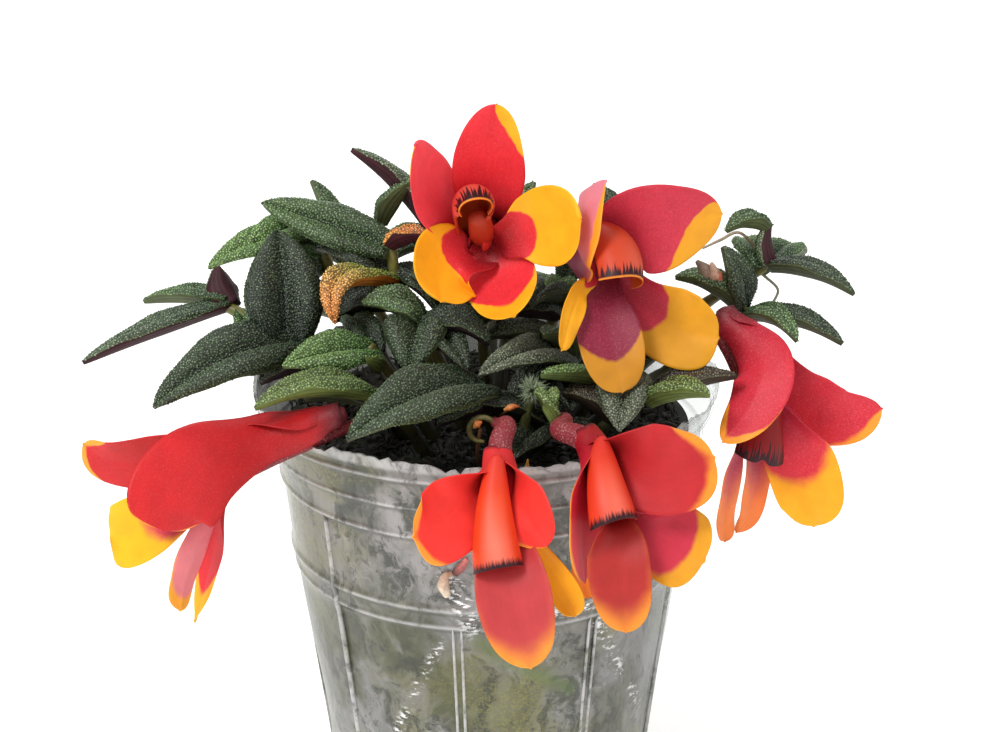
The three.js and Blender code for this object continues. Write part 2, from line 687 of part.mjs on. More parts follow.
const plant = new THREE.Group();
plant.add(meshOf(potBody(), "pot", looks.pot));
plant.add(meshOf(mediumBody(), "medium", looks.medium));
for (const shoot of shoots) plant.add(meshOf(shootBody(shoot), `shoot_${shoot.name}`, looks.leaf));
for (const bloom of blooms) {
  const { lip, flower } = bloomParts(bloom);
  plant.add(meshOf(flower, `bloom_${bloom.name}`, looks.flower));
  plant.add(meshOf(lip, `lip_${bloom.name}`, looks.lip));
}

export default plant;
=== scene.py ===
# %% [markdown]
# A potted dendrobium cuthbertsonii: a dwarf orchid from wet mountain forest, a hand's breadth wide,
# in the thin clear nursery pot that growers use. This lesson builds its looks in Blender round a
# imported CAD model, which keeps the sizes. The first cell loads that model. Everything made here has
# to stay within it.

# %% Load the imported model
import math

import bpy
import numpy as np
from mathutils import Euler, Matrix, Vector


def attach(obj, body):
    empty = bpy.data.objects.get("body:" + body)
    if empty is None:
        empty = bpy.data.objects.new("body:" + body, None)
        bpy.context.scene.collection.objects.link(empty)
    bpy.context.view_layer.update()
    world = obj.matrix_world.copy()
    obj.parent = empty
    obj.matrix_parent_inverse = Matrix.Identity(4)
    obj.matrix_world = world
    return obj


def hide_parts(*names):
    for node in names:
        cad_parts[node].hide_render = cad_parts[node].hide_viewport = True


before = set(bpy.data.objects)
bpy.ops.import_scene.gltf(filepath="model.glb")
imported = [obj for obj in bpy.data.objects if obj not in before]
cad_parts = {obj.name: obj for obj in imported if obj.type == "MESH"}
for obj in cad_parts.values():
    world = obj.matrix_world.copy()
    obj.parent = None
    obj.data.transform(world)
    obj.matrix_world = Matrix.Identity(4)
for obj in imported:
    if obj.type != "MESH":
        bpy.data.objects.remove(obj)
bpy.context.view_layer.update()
MM = 0.001
print("nodes in the frame:", len(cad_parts))

# %% [markdown]
# The camera stands where the photographer stood: 400 mm from the plant and a little under 20 degrees
# above it, with a lens of about 80 mm on a full-frame sensor. The tilt of half a degree levels the
# pot's rim as the photo shows it. Placing the camera first means that every later step can be judged
# against the photo.

# %% Camera
CAMERA_TARGET = Vector((2.59, 0.0, 82.47)) * MM
CAMERA_DISTANCE = 400 * MM
CAMERA_ELEVATION = math.radians(19.84)
CAMERA_ROLL = math.radians(-0.57)
SENSOR_WIDTH = 36.0
IMAGE_WIDTH = 1000
FOCAL_PIXELS = 2220.12  # the focal length, measured in the photo's own pixels

camera_data = bpy.data.cameras.new("camera")
camera_data.sensor_width = SENSOR_WIDTH
camera_data.lens = FOCAL_PIXELS * SENSOR_WIDTH / IMAGE_WIDTH
camera_data.clip_start = 0.01
camera_data.clip_end = 20
camera = bpy.data.objects.new("camera", camera_data)
bpy.context.scene.collection.objects.link(camera)
towards_camera = Vector((0, -math.cos(CAMERA_ELEVATION), math.sin(CAMERA_ELEVATION)))
camera.location = CAMERA_TARGET + towards_camera * CAMERA_DISTANCE
turn = Euler((math.pi / 2 - CAMERA_ELEVATION, 0, 0)).to_matrix() @ Matrix.Rotation(CAMERA_ROLL, 3, "Z")
camera.rotation_euler = turn.to_euler()
bpy.context.scene.camera = camera
print("lens in mm:", round(camera_data.lens, 2))

# %% [markdown]
# The photo is high key: a white surround lights the plant from all sides, and a large soft lamp above
# and to the left gives the flowers their form. A white world does the first job, and area lamps do
# the second. The floor is a plain white disc, which isn't part of the object.

# %% Colours and nodes
def colour(hex_text):
    """An sRGB hex colour as the linear RGBA that Blender's sockets take."""
    channels = [int(hex_text[i : i + 2], 16) / 255 for i in (0, 2, 4)]
    return (*[c / 12.92 if c <= 0.04045 else ((c + 0.055) / 1.055) ** 2.4 for c in channels], 1.0)


def add_node(tree, kind, inputs=None, **settings):
    """Adds a node with its settings; each input takes a constant, or the socket that it is linked to."""
    node = tree.nodes.new(kind)
    for name, value in settings.items():
        setattr(node, name, value)
    for name, value in (inputs or {}).items():
        socket = node.inputs[name]
        if isinstance(value, bpy.types.NodeSocket):
            tree.links.new(value, socket)
        else:
            socket.default_value = value
    return node


def make_material(name, look):
    """A material whose surface is the shader that look makes from a tree and the place of each point."""
    material = bpy.data.materials.new(name)
    material.use_nodes = True
    tree = material.node_tree
    tree.nodes.clear()
    place = add_node(tree, "ShaderNodeTexCoord").outputs["Object"]
    add_node(tree, "ShaderNodeOutputMaterial", {"Surface": look(tree, place)})
    return material


def mark(tree, name, output="Fac"):
    """A mark that the mesh carries on its points."""
    return add_node(tree, "ShaderNodeAttribute", attribute_name=name).outputs[output]


def noise(tree, place, scale, detail=2.0, roughness=0.5):
    """A noise at each place, near a half on average."""
    sizes = {"Vector": place, "Scale": scale, "Detail": detail, "Roughness": roughness}
    return add_node(tree, "ShaderNodeTexNoise", sizes).outputs["Fac"]


def share(tree, value, low, high, least=0.0, most=1.0):
    """A value's place between low and high, brought to least and most."""
    ends = {"Value": value, "From Min": low, "From Max": high, "To Min": least, "To Max": most}
    return add_node(tree, "ShaderNodeMapRange", ends).outputs[0]


def maths(tree, operation, *values):
    """The result of a Math node."""
    return add_node(tree, "ShaderNodeMath", dict(enumerate(values)), operation=operation).outputs[0]


def product(tree, first, second):
    """Two values multiplied."""
    return maths(tree, "MULTIPLY", first, second)


def dim(tree, tone, amount):
    """A colour made darker or lighter."""
    return add_node(tree, "ShaderNodeVectorMath", {0: tone, "Scale": amount}, operation="SCALE").outputs[0]


def paint(tree, below, amount, above):
    """A colour with another laid over it."""
    layers = {"Factor": amount, "A": below, "B": above}
    return add_node(tree, "ShaderNodeMix", layers, data_type="RGBA").outputs["Result"]


def cells(tree, place, scale):
    """How far each place is from the middle of its cell."""
    return add_node(tree, "ShaderNodeTexVoronoi", {"Vector": place, "Scale": scale}).outputs["Distance"]


def split(tree, vector):
    """The three parts of a vector."""
    return add_node(tree, "ShaderNodeSeparateXYZ", {0: vector}).outputs


def relief(tree, height, strength, depth, **settings):
    """The normal of a skin with a relief; the depth is in mm."""
    inputs = {"Height": height, "Strength": strength, "Distance": depth * MM}
    return add_node(tree, "ShaderNodeBump", inputs, **settings).outputs[0]


def skin(tree, tone, roughness, normal=None, **more):
    """A Principled shader; more gives its other inputs, with an underscore for each space."""
    inputs = {"Base Color": tone, "Roughness": roughness} | ({"Normal": normal} if normal else {})
    inputs |= {name.replace("_", " "): value for name, value in more.items()}
    return add_node(tree, "ShaderNodeBsdfPrincipled", inputs).outputs[0]


# %% World, lamps and floor
WORLD_LIGHT = 0.62  # what the surround gives the plant; the camera sees it at full white
world = bpy.data.worlds.new("white_surround")
world.use_nodes = True
background = world.node_tree.nodes["Background"]
rays = add_node(world.node_tree, "ShaderNodeLightPath")
seen = share(world.node_tree, rays.outputs["Is Camera Ray"], 0.0, 1.0, WORLD_LIGHT, 1.0)
world.node_tree.links.new(seen, background.inputs["Strength"])
background.inputs["Color"].default_value = colour("FFFFFF")
bpy.context.scene.world = world
bpy.context.scene.view_settings.view_transform = "Standard"


def area_lamp(name, place, aim, width, power):
    """A square soft lamp at a place, aimed at a point, both in mm."""
    data = bpy.data.lights.new(name, "AREA")
    data.size = width * MM
    data.energy = power
    lamp = bpy.data.objects.new(name, data)
    lamp.location = Vector(place) * MM
    direction = Vector(aim) * MM - lamp.location
    lamp.rotation_euler = direction.to_track_quat("-Z", "Y").to_euler()
    bpy.context.scene.collection.objects.link(lamp)


area_lamp("key", (-350, -450, 650), (0, 0, 90), 240, 4.0)
area_lamp("fill", (500, -400, 350), (0, 0, 80), 400, 0.5)
area_lamp("back", (100, 500, 500), (0, 0, 100), 400, 1.2)


def white_paper(tree, _):
    """Matt paper that glows a little, so that it stays white in the plant's shade."""
    matt = add_node(tree, "ShaderNodeBsdfDiffuse", {"Color": colour("F2F2F0")})
    glow = add_node(tree, "ShaderNodeEmission", {"Color": colour("FFFFFF"), "Strength": 0.42})
    return add_node(tree, "ShaderNodeAddShader", {0: matt.outputs[0], 1: glow.outputs[0]}).outputs[0]


bpy.ops.mesh.primitive_circle_add(vertices=96, radius=3, fill_type="NGON")
floor = bpy.context.object
floor.name = "floor"
floor.data.materials.append(make_material("white_paper_floor", white_paper))

# %% [markdown]
# Nearly every living piece here is a loft: a row of rings, each a cross-section, joined into a skin
# and closed at both ends. A leaf's ring goes over its warty upper side and back under its keel, a
# petal's goes along its inner face and back along its outer one, and a stem's is round. Numpy makes
# the rings, and a patchwork gathers the lofts of one plant part into one mesh, with marks on its
# points (colours, and how far along and across a point lies) that the materials read.

# %% Vectors, curves and lofts
def unit(vectors):
    """The vectors at length 1."""
    vectors = np.asarray(vectors, float)
    return vectors / np.maximum(np.linalg.norm(vectors, axis=-1, keepdims=True), 1e-12)


def rgb(hex_text):
    """A colour's three numbers, for the points of a mesh."""
    return np.array(colour(hex_text)[:3])


def ease(x, low, high):
    """Goes smoothly from 0 at low to 1 at high."""
    t = np.clip((np.asarray(x, float) - low) / (high - low), 0, 1)
    return t * t * (3 - 2 * t)


def parabola(start, middle, end, s):
    """Points at s of the parabola through three points, the middle one at 0.5, as in the CAD source."""
    start, middle, end = (np.array(p, float) for p in (start, middle, end))
    control = 2 * middle - 0.5 * start - 0.5 * end
    s = np.asarray(s, float)[:, None]
    return (1 - s) ** 2 * start + 2 * s * (1 - s) * control + s**2 * end


def through(points, shares):
    """Points at shares of the length of the centripetal Catmull-Rom curve through the given ones."""
    p = np.array(points, float)
    p = np.vstack([2 * p[0] - p[1], p, 2 * p[-1] - p[-2]])
    steps = np.linalg.norm(np.diff(p, axis=0), axis=1) ** 0.5
    dense = []
    for k in range(1, len(p) - 2):
        a, b, c = steps[k - 1], steps[k], steps[k + 1]
        out = ((p[k] - p[k - 1]) / a - (p[k + 1] - p[k - 1]) / (a + b) + (p[k + 1] - p[k]) / b) * b
        into = ((p[k + 1] - p[k]) / b - (p[k + 2] - p[k]) / (b + c) + (p[k + 2] - p[k + 1]) / c) * b
        t = np.linspace(0, 1, 40, endpoint=k == len(p) - 3)[:, None]
        start = (2 * t**3 - 3 * t**2 + 1) * p[k] + (t**3 - 2 * t**2 + t) * out
        dense.append(start + (-2 * t**3 + 3 * t**2) * p[k + 1] + (t**3 - t**2) * into)
    dense = np.vstack(dense)
    length = np.concatenate([[0], np.cumsum(np.linalg.norm(np.diff(dense, axis=0), axis=1))])
    wanted = np.asarray(shares, float) * length[-1]
    return np.stack([np.interp(wanted, length, dense[:, i]) for i in range(3)], axis=1)


def axes_along(line, facing):
    """The ways along a line, across it, and to the side that it faces."""
    along = unit(np.gradient(line, axis=0))
    across = unit(np.cross(along, facing))
    return along, across, unit(np.cross(across, along))


def loft(rings, sheet=False):
    """A closed skin over rings of points: a fan closes each end, or a strip where the ring is a sheet."""
    rows, around = rings.shape[:2]
    points = rings.reshape(-1, 3)
    r, c = np.meshgrid(np.arange(rows - 1), np.arange(around), indexing="ij")
    a, b = r * around + c, r * around + (c + 1) % around
    faces = np.stack([a, b, b + around, a + around], axis=-1).reshape(-1, 4).tolist()
    first, last, end = rows * around, rows * around + 1, (rows - 1) * around
    if sheet:
        strip = np.array([[k, k + 1, around - 2 - k, around - 1 - k] for k in range(around // 2 - 1)])
        return points, faces + strip[:, ::-1].tolist() + (strip + end).tolist()
    points = np.vstack([points, rings[0].mean(0), rings[-1].mean(0)])
    faces += [[first, (k + 1) % around, k] for k in range(around)]
    faces += [[last, end + k, end + (k + 1) % around] for k in range(around)]
    return points, faces


def capped(values, sheet):
    """Marks of a grid of ring points, with one more for the middle of each end that has a fan."""
    values = np.asarray(values, float)
    flat = values.reshape(-1, *values.shape[2:])
    return flat if sheet else np.concatenate([flat, values[0].mean(0)[None], values[-1].mean(0)[None]])


class Patchwork:
    """Lofts that make up one mesh, in mm, with marks on their points."""

    def __init__(self):
        self.points, self.faces, self.finishes, self.marks = [], [], [], []
        self.count = 0

    def add(self, rings, finishes=0, sheet=False, **marks):
        """Adds a loft. finishes is one material index, or one for each column of the rings."""
        points, faces = loft(rings, sheet)
        corners = points[np.array([f[:3] for f in faces])]
        volume = np.einsum("ij,ij->i", corners[:, 0], np.cross(corners[:, 1], corners[:, 2])).sum()
        quads = [f for f in faces if len(f) == 4]
        rest = points[np.array([[f[0], f[2], f[3]] for f in quads])]
        volume += np.einsum("ij,ij->i", rest[:, 0], np.cross(rest[:, 1], rest[:, 2])).sum()
        if volume < 0:
            faces = [f[::-1] for f in faces]
        columns = np.broadcast_to(finishes, rings.shape[1]).tolist()
        sides = columns * (rings.shape[0] - 1)
        self.finishes += sides + [columns[0]] * (len(faces) - len(sides)) if sheet else sides + columns * 2
        self.faces += [[i + self.count for i in f] for f in faces]
        self.points.append(points)
        self.count += len(points)
        filled = {}
        for name, value in marks.items():
            value = np.asarray(value, float)
            if value.shape[:2] != rings.shape[:2]:
                value = np.broadcast_to(value, (*rings.shape[:2], *value.shape))
            filled[name] = capped(value, sheet)
        self.marks.append(filled)

    def make(self, name, materials):
        """The mesh object, in metres."""
        mesh = bpy.data.meshes.new(name)
        mesh.from_pydata((np.vstack(self.points) * MM).tolist(), [], self.faces)
        for material in materials:
            mesh.materials.append(material)
        mesh.polygons.foreach_set("material_index", self.finishes)
        mesh.polygons.foreach_set("use_smooth", [True] * len(mesh.polygons))
        for mark in self.marks[0]:
            values = np.concatenate([m[mark] for m in self.marks]).astype(np.float32)
            kind, field = ("FLOAT", "value") if values.ndim == 1 else ("FLOAT_VECTOR", "vector")
            attribute = mesh.attributes.new(mark, kind, "POINT")
            attribute.data.foreach_set(field, values.ravel())
        piece = bpy.data.objects.new(name, mesh)
        bpy.context.scene.collection.objects.link(piece)
        return piece


def settle(piece, slot, *nodes):
    """Makes a piece ride on the part's one body, in place of the CAD nodes that it stands for."""
    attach(piece, "root")
    if nodes:
        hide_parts(*nodes)


print("a loft of 3 rings of 4 points has", len(loft(np.random.default_rng(1).random((3, 4, 3)))[1]), "faces")

# %% [markdown]
# The leaves. On the plant each is 15 to 27 mm long, thick, keeled below and deeply creased along its
# midrib, and its upper side is covered with glistening warts. The real leaf grows a wart every third
# of a millimetre or so, so they are real geometry here, scattered by Geometry Nodes over the upper
# side, and they roughen the leaf's outline as they do in the photo. Each leaf has its own tint: fresh
# leaves are light green, old ones near black, and one on the left has turned orange. The leaves deep
# in the plant's shade get a near-black tint as painted shade.

# %% The shoots: stems and leaves
DARK = ("304029", "4A5C3E", "484E36")
DEEP = ("22321F", "3A4A31", "33262A")
MID = ("48623C", "688452", "525C3A")
FRESH = ("567A3E", "7C9C58", "6E8048")
OLIVE = ("607A3E", "7C924E", "68763C")
FROST = ("48543F", "747E66", "44463A")
# painted shade: near-black tints for the leaves deep inside the plant, where only shade shows
PAINTED_SHADE = ("1C2416", "2A321F", "1C1A14")
MAROON = ("4A6242", "7A8E6C", "44262C")
RUSSET = ("8FA648", "F8A458", "C07830")
RUST = ("F2A048", "C87830", "4A2028")
BROWN = ("3E3424", "54452E", "362C22")

# Each shoot is its stem's points and its leaves, in mm, as in the CAD source. A leaf is its base, its
# tip, its width, the rise of its middle or the middle itself, the turn of its upper side in degrees,
# and its tints: base, tip and underside.
SHOOTS = {
    "far_left": ([(-8, -3, 66), (-24, -6, 82), (-38, -1, 90), (-47, 2, 94)], [
        ((-46, 2, 94), (-71, -8, 87), 5.8, 1, 0, MAROON),
        ((-46, 2, 95), (-62.6, 10, 92.4), 5, 1.2, 0, MID),
        ((-45, 2, 94), (-48, 5, 100.5), 6.5, 1, 180, MAROON),
        ((-44, 1, 93), (-42, -3, 87), 4, 1, 0, FRESH)]),
    "left": ([(-10, -7, 66), (-20, -11, 80), (-28, -12, 87), (-34, -12, 91)], [
        ((-33, -12, 91), (-56, -26, 85), 12, 3.5, -25, DARK),
        ((-34.5, -12, 91), (-36, -4, 109.5), 14, 2, 0, DEEP),
        ((-29, -12, 87), (-39, -17, 86), 7, 1.5, 0, DEEP)]),
    "upper_left": ([(-6, 0, 66), (-10, -2, 85), (-15, -4, 97), (-16.5, -4, 108)], [
        ((-16.5, -4, 106), (-39, 0, 113.4), 9, 0.2, -45, MID),
        ((-16, -4, 100), (-25.5, -16.5, 96.3), 6.5, (-24.5, -13, 103), 0, RUSSET),
        ((-16, -4, 99), (-30, 0, 105), 8, 3, -20, DEEP),
        ((-16.5, -5, 107), (-10, -9, 110), 5, 1, 0, RUST),
        ((-15, -3, 95), (-27, -5, 93), 8, 2, 0, PAINTED_SHADE),
        ((-14, -3, 94), (-26, 5, 99), 8, 2, 0, DARK)]),
    "behind_left": ([(-10, 3, 66), (-20, 7, 84), (-27, 7, 96), (-30, 6, 107)], [
        ((-30, 6, 106.5), (-43, -1, 103.5), 8, 3, -30, FRESH),
        ((-30, 5, 103), (-49, 0, 101.5), 8, 4, -30, FRESH),
        ((-29, 7, 98), (-41, 15, 102), 8, 3, 0, MID),
        ((-26, 6, 93), (-20, 16, 96), 8, 2, 0, DARK)]),
    "tall_left": ([(-3, 6, 66), (-5, 7, 88), (-8, 7, 105)], [
        ((-8, 7, 104), (-23, 4, 122), 7, 2, 0, MAROON),
        ((-8, 8, 102), (-12, 15, 115.5), 7, 2, 0, MID),
        ((-8, 7, 101), (-17, 2, 107), 6, 2, 0, MID),
        ((-18.5, 5, 108), (-12.5, 3, 116.5), 5.5, 1, 0, MID),
        ((-16, -1, 101), (-8, -6, 94.5), 7, 2, 0, DEEP),
        ((-7, 8, 98), (-7, 20, 106), 8, 3, 0, DARK)]),
    "front_left_upper": ([(-6, -8, 66), (-14, -13, 82), (-20, -15, 92)], [
        ((-19, -15, 90.5), (-34, -24, 91.5), 9, 1, -25, FRESH),
        ((-19, -14, 90), (-25, -4, 93), 7, 2, 0, DARK),
        ((-18, -15, 88), (-20, -22, 92), 3, 0.5, 0, OLIVE)]),
    "front_left_lower": ([(-8, -15, 66), (-14, -21, 80), (-20, -24, 86)], [
        ((-19, -24, 86), (-37.8, -35.8, 88.6), 8, 2.7, 0, OLIVE),
        ((-20, -24, 85), (-31, -20, 84), 7, 1.5, 0, DARK)]),
    "front": ([(2, -13, 66), (1, -18, 78), (0, -21, 86)], [
        ((0, -20.5, 85), (-22.5, -39, 84), 13, 3, -15, DARK),
        ((1, -20, 83), (-8, -25, 81), 7, 1, 0, DEEP)]),
    "middle_left": ([(-2, -5, 66), (-7, -9, 84), (-11, -12, 95)], [
        ((-11, -12, 94), (-12.5, -22, 89), 11, 3, 0, DARK),
        ((-11, -12.5, 94.5), (1, -17, 92.5), 8, 2.6, 0, DEEP),
        ((-11, -12, 95), (-21, -13, 99), 8, 2, -15, MID),
        ((-10, -12, 92), (-3, -23, 90), 7, 2, 0, DEEP)]),
    "middle": ([(0, -2, 66), (0, -4, 84), (-1, -6, 95)], [
        ((-1, -6, 94), (-13, -7.6, 102.3), 8, 2.4, -30, DARK),
        ((-1, -6, 93), (5, -17, 97.5), 8, 2, 0, DARK),
        ((-1, -6, 94), (9.5, -5, 98.5), 8, 1.5, 0, MID),
        ((-1, -5, 91), (-12, 0, 97), 8, 2, 0, DEEP)]),
    "middle_right": ([(6, -4, 66), (12, -6, 80), (16, -8, 89)], [
        ((14.5, -7.5, 85.5), (-1, -28, 91), 8, 3, -20, FROST),
        ((14.5, -7, 85.5), (0, -11, 92), 8, 3, 0, DARK),
        ((14.5, -7.5, 85.5), (10, -16, 94), 7, 2, 0, MID),
        ((14, -7, 84), (4, -17, 81), 8, 2, 0, PAINTED_SHADE),
        ((12.5, -6.5, 81), (15, -19, 81), 8, 2, 0, PAINTED_SHADE)]),
    "right_low": ([(10, -7, 66), (19, -10, 80), (26, -13, 87)], [
        ((25, -13, 84), (22.5, -29, 81), 10, 2, 0, FROST),
        ((26, -13, 87), (31, -9, 98), 8, 2, 0, MID),
        ((26, -13, 86), (37, -9, 91), 8, 2, 0, DARK),
        ((22, -11.5, 83.5), (9.5, -24, 89.6), 4.5, 1, 0, FRESH)]),
    "front_right": ([(14, -13, 66), (21, -18, 78), (27, -20, 83)], [
        ((27, -20, 83), (43, -21, 88), 6, 1.5, 0, BROWN),
        ((22, -18.5, 79), (13.2, -18, 84.1), 7, 1.5, 0, BROWN),
        ((28, -20, 83), (37.5, -30, 88), 6.5, 1.5, 0, OLIVE)]),
    "far_right": ([(12, 5, 66), (28, 8, 82), (42, 7, 93), (51, 4, 100)], [
        ((51.5, 3, 99.5), (50.5, 3, 107.8), 4, 1.5, 180, MAROON),
        ((50.5, 3, 107.3), (42.5, 0, 107.4), 4.5, 2, 0, MID),
        ((51, 3, 100), (65, -6, 97.5), 5, 2, 0, DARK),
        ((50, 4, 99), (59, 16, 98), 7, 2, 0, MID),
        ((50, 4, 99), (46, 14, 100.5), 7, 2, 0, MID)]),
    "right": ([(12, -3, 66), (26, -3, 78), (40, -1, 87), (47, 0, 93)], [
        ((45.5, 0, 93), (42.5, 2, 104), 8, 1, 0, DARK),
        ((45.5, 0.5, 93), (34, 2, 98.5), 7, 2, 0, MID),
        ((47, 0, 92), (63, -8, 89), 5.5, 2.2, 0, DARK),
        ((47, -1, 92), (54.5, -11, 90.5), 5.5, 2.5, 0, MID),
        ((38, -1.5, 85.5), (33, -11, 84.5), 6, 2, 0, BROWN)]),
    "front_low": ([(7, -13, 66), (10, -17, 76), (12, -20, 80)], [
        ((10.5, -18, 77), (4, -31, 76.5), 7, 1, 0, PAINTED_SHADE),
        ((10.5, -18, 77), (20, -27, 77.5), 7, 1, 0, PAINTED_SHADE),
        ((10.5, -18.5, 78), (-4.3, -24, 84.5), 8, 1.5, 0, PAINTED_SHADE),
        ((11.5, -19.5, 79.5), (12.6, -31.5, 80.8), 4, (10.4, -31, 88.5), 0, OLIVE)]),
    "centre": ([(5, 2, 66), (10, 3, 84), (15, 4, 97)], [
        ((15, 3, 96), (11, -4, 97.5), 6, 1, 0, FRESH),
        ((15, 4, 97), (22, 10, 104), 8, 2, 0, MID),
        ((14, 3, 93), (28, -2, 96), 8, 2, 0, DARK),
        ((13, 3, 91), (2, -4, 92), 8, 2, 0, DEEP),
        ((14, 3, 94), (8, -9, 97), 7, 2, 0, DARK)]),
    "back_centre": ([(2, 9, 66), (4, 13, 86), (6, 13, 101)], [
        ((6, 12, 100), (9, 14, 113), 7, 1, 0, MID),
        ((6, 13, 99), (2, 27, 103), 8, 2, 0, DARK),
        ((6, 13, 99), (14, 24, 101), 8, 3, 0, DARK)]),
    "back_right": ([(9, 7, 66), (19, 13, 84), (26, 15, 97)], [
        ((26, 14, 96), (20, 16, 112), 9, 2, 0, DARK),
        ((26, 15, 97), (38, 12, 102), 8, 2, 0, MID),
        ((26, 16, 95), (34, 28, 96), 8, 3, 0, FRESH),
        ((24, 15, 92), (20, 27, 93), 8, 2, 0, DARK)]),
    "back_left": ([(-8, 9, 66), (-18, 17, 84), (-26, 21, 96)], [
        ((-26, 21, 96), (-32, 24, 111), 7, 1, 0, MID),
        ((-26, 21, 96), (-40, 28, 95), 8, 3, 0, DARK),
        ((-25, 22, 93), (-22, 35, 94), 8, 3, 0, FRESH),
        ((-24, 20, 92), (-12, 24, 98), 8, 2, 0, DARK)]),
    "back_low": ([(1, 15, 66), (1, 24, 78), (2, 28, 84)], [
        ((2, 28, 84), (-8, 41, 84), 8, 3, 0, DARK),
        ((2, 28, 84), (14, 39, 85), 8, 3, 0, MID),
        ((2, 27, 84), (6, 35, 94), 8, 2, 0, FRESH)]),
    "back_low_left": ([(-13, 13, 66), (-22, 24, 77), (-25, 29, 81)], [
        ((-25, 29, 81), (-31, 41, 80), 8, 3, 0, DARK),
        ((-25, 29, 81), (-39, 33, 83), 8, 2, 0, MID),
        ((-25, 29, 81), (-15, 37, 85), 8, 2, 0, DARK)]),
    "back_low_right": ([(16, 12, 66), (25, 19, 77), (30, 21, 81)], [
        ((30, 21, 81), (42, 21, 84), 8, 2, 0, MID),
        ((30, 21, 81), (38, 33, 80), 8, 3, 0, DARK),
        ((30, 21, 81), (24, 33, 84), 8, 2, 0, FRESH)]),
}
print("shoots:", len(SHOOTS), "leaves:", sum(len(leaves) for _, leaves in SHOOTS.values()))

# %% [markdown]
# Leaf materials. The leaf's skin is a thick living cuticle: dull green in the valleys between its
# warts, glossy on their tops, and smooth and often maroon below. Painted shade darkens the valleys
# and the midrib's crease, and the warts' tops are lighter, some with a painted glint. The upper side,
# the underside and the warts each get a material that reads the leaf's own tints from its points, so
# one material serves every leaf. The pattern's grain is a third of a millimetre, the size of a wart's
# valley.

# %% Leaf materials
LEAF_GRAIN = 1 / (0.34 * MM)


def leaf_upper(tree, place):
    """The rough skin that the warts stand on: grain on grain, with painted shade along the midrib's crease and
    in the valleys between the grains.
    """
    cleft, grains = mark(tree, "cleft"), cells(tree, place, LEAF_GRAIN)
    mottle = share(tree, noise(tree, place, 260.0, 3.0), 0.3, 0.7, 0.32, 0.72)
    # painted shade: darker in the midrib's crease and in the valleys between the grains, lighter in their
    # middles
    value = product(tree, mottle, share(tree, cleft, 0.0, 0.2, 0.4, 1.0))
    value = product(tree, value, share(tree, grains, 0.2, 0.75, 1.3, 0.4))
    tone = dim(tree, mark(tree, "tint", "Color"), value)
    tone = paint(tree, tone, share(tree, cleft, 0.94, 1.0, 0.0, 0.45), colour("7E8C50"))
    return skin(tree, tone, 0.42, relief(tree, grains, 1.0, 0.16, invert=True))


def leaf_under(tree, place):
    """The smooth underside, ridged along its veins."""
    wave = maths(tree, "SINE", product(tree, mark(tree, "cleft"), 26.0))
    ridges = maths(tree, "MULTIPLY_ADD", wave, 0.25, noise(tree, place, 500.0))
    tone = dim(tree, mark(tree, "under", "Color"), share(tree, ridges, 0.1, 0.9, 0.6, 1.25))
    return skin(tree, tone, 0.6, relief(tree, ridges, 0.5, 0.12), Specular_IOR_Level=0.2)


def wart(tree, _):
    """The glassy tops of the warts: the leaf's tint, with painted shade at their feet and painted light towards
    their tips, and a painted glint on some.
    """
    tip, spark = mark(tree, "tip"), mark(tree, "spark")
    # painted shade and light: darker at a wart's foot, lighter at its tip; a painted glint whitens the tips of
    # some
    value = product(tree, share(tree, spark, 0.0, 1.0, 0.85, 1.5), share(tree, tip, 0.0, 0.7, 0.3, 1.4))
    glint = product(tree, share(tree, spark, 0.2, 1.0, 0.05, 0.42), share(tree, tip, 0.2, 0.9))
    return skin(tree, paint(tree, dim(tree, mark(tree, "tint", "Color"), value), glint, colour("BCCBAC")), 0.34)


def fibre(scale, darkest, strength, roughness):
    """Plant fibre with a fine streak: a young cane under thin sheaths, or papery dead tissue."""

    def look(tree, place):
        streak = noise(tree, place, scale, 4.0)
        tone = dim(tree, mark(tree, "tint", "Color"), share(tree, streak, 0.3, 0.7, darkest, 1.2))
        return skin(tree, tone, roughness, relief(tree, streak, strength, 0.1))

    return look


leaf_skins = [make_material("leaf_upper_cuticle", leaf_upper), make_material("leaf_underside", leaf_under),
              make_material("cane_and_sheaths", fibre(700.0, 0.6, 0.4, 0.45))]
warts = make_material("leaf_warts", wart)
print("leaf materials:", [material.name for material in leaf_skins], warts.name)

# %% [markdown]
# The form of a leaf follows the CAD source's formulas: the same line, the same widths. The fine
# section adds what the plain one lacks: each half of the upper side is a soft pillow beside the
# crease, its margin rolls down, and the underside runs into a keel. A stem swells between its joints.

# %% Leaf and stem shapes
LEAF_FOLD = math.radians(27)
LEAF_KEEL = 2.0
LEAF_ROWS = 28
UPPER_COLUMNS = 16
UNDER_COLUMNS = 8
STEM_RADIUS = 1.3


def half_width(s, base, widest, bluntness):
    """Half a blade's width at s along it, as a share of its widest."""
    swell = base + (1 - base) * np.sin(np.pi / 2 * np.clip(s / widest, 0, 1))
    beyond = np.clip((s - widest) / (1 - widest), 0, 1) if widest < 1 else np.zeros_like(s)
    close = np.maximum(0.05, (1 - beyond**bluntness) ** (1 / bluntness))
    return np.where(s <= widest, swell, close)


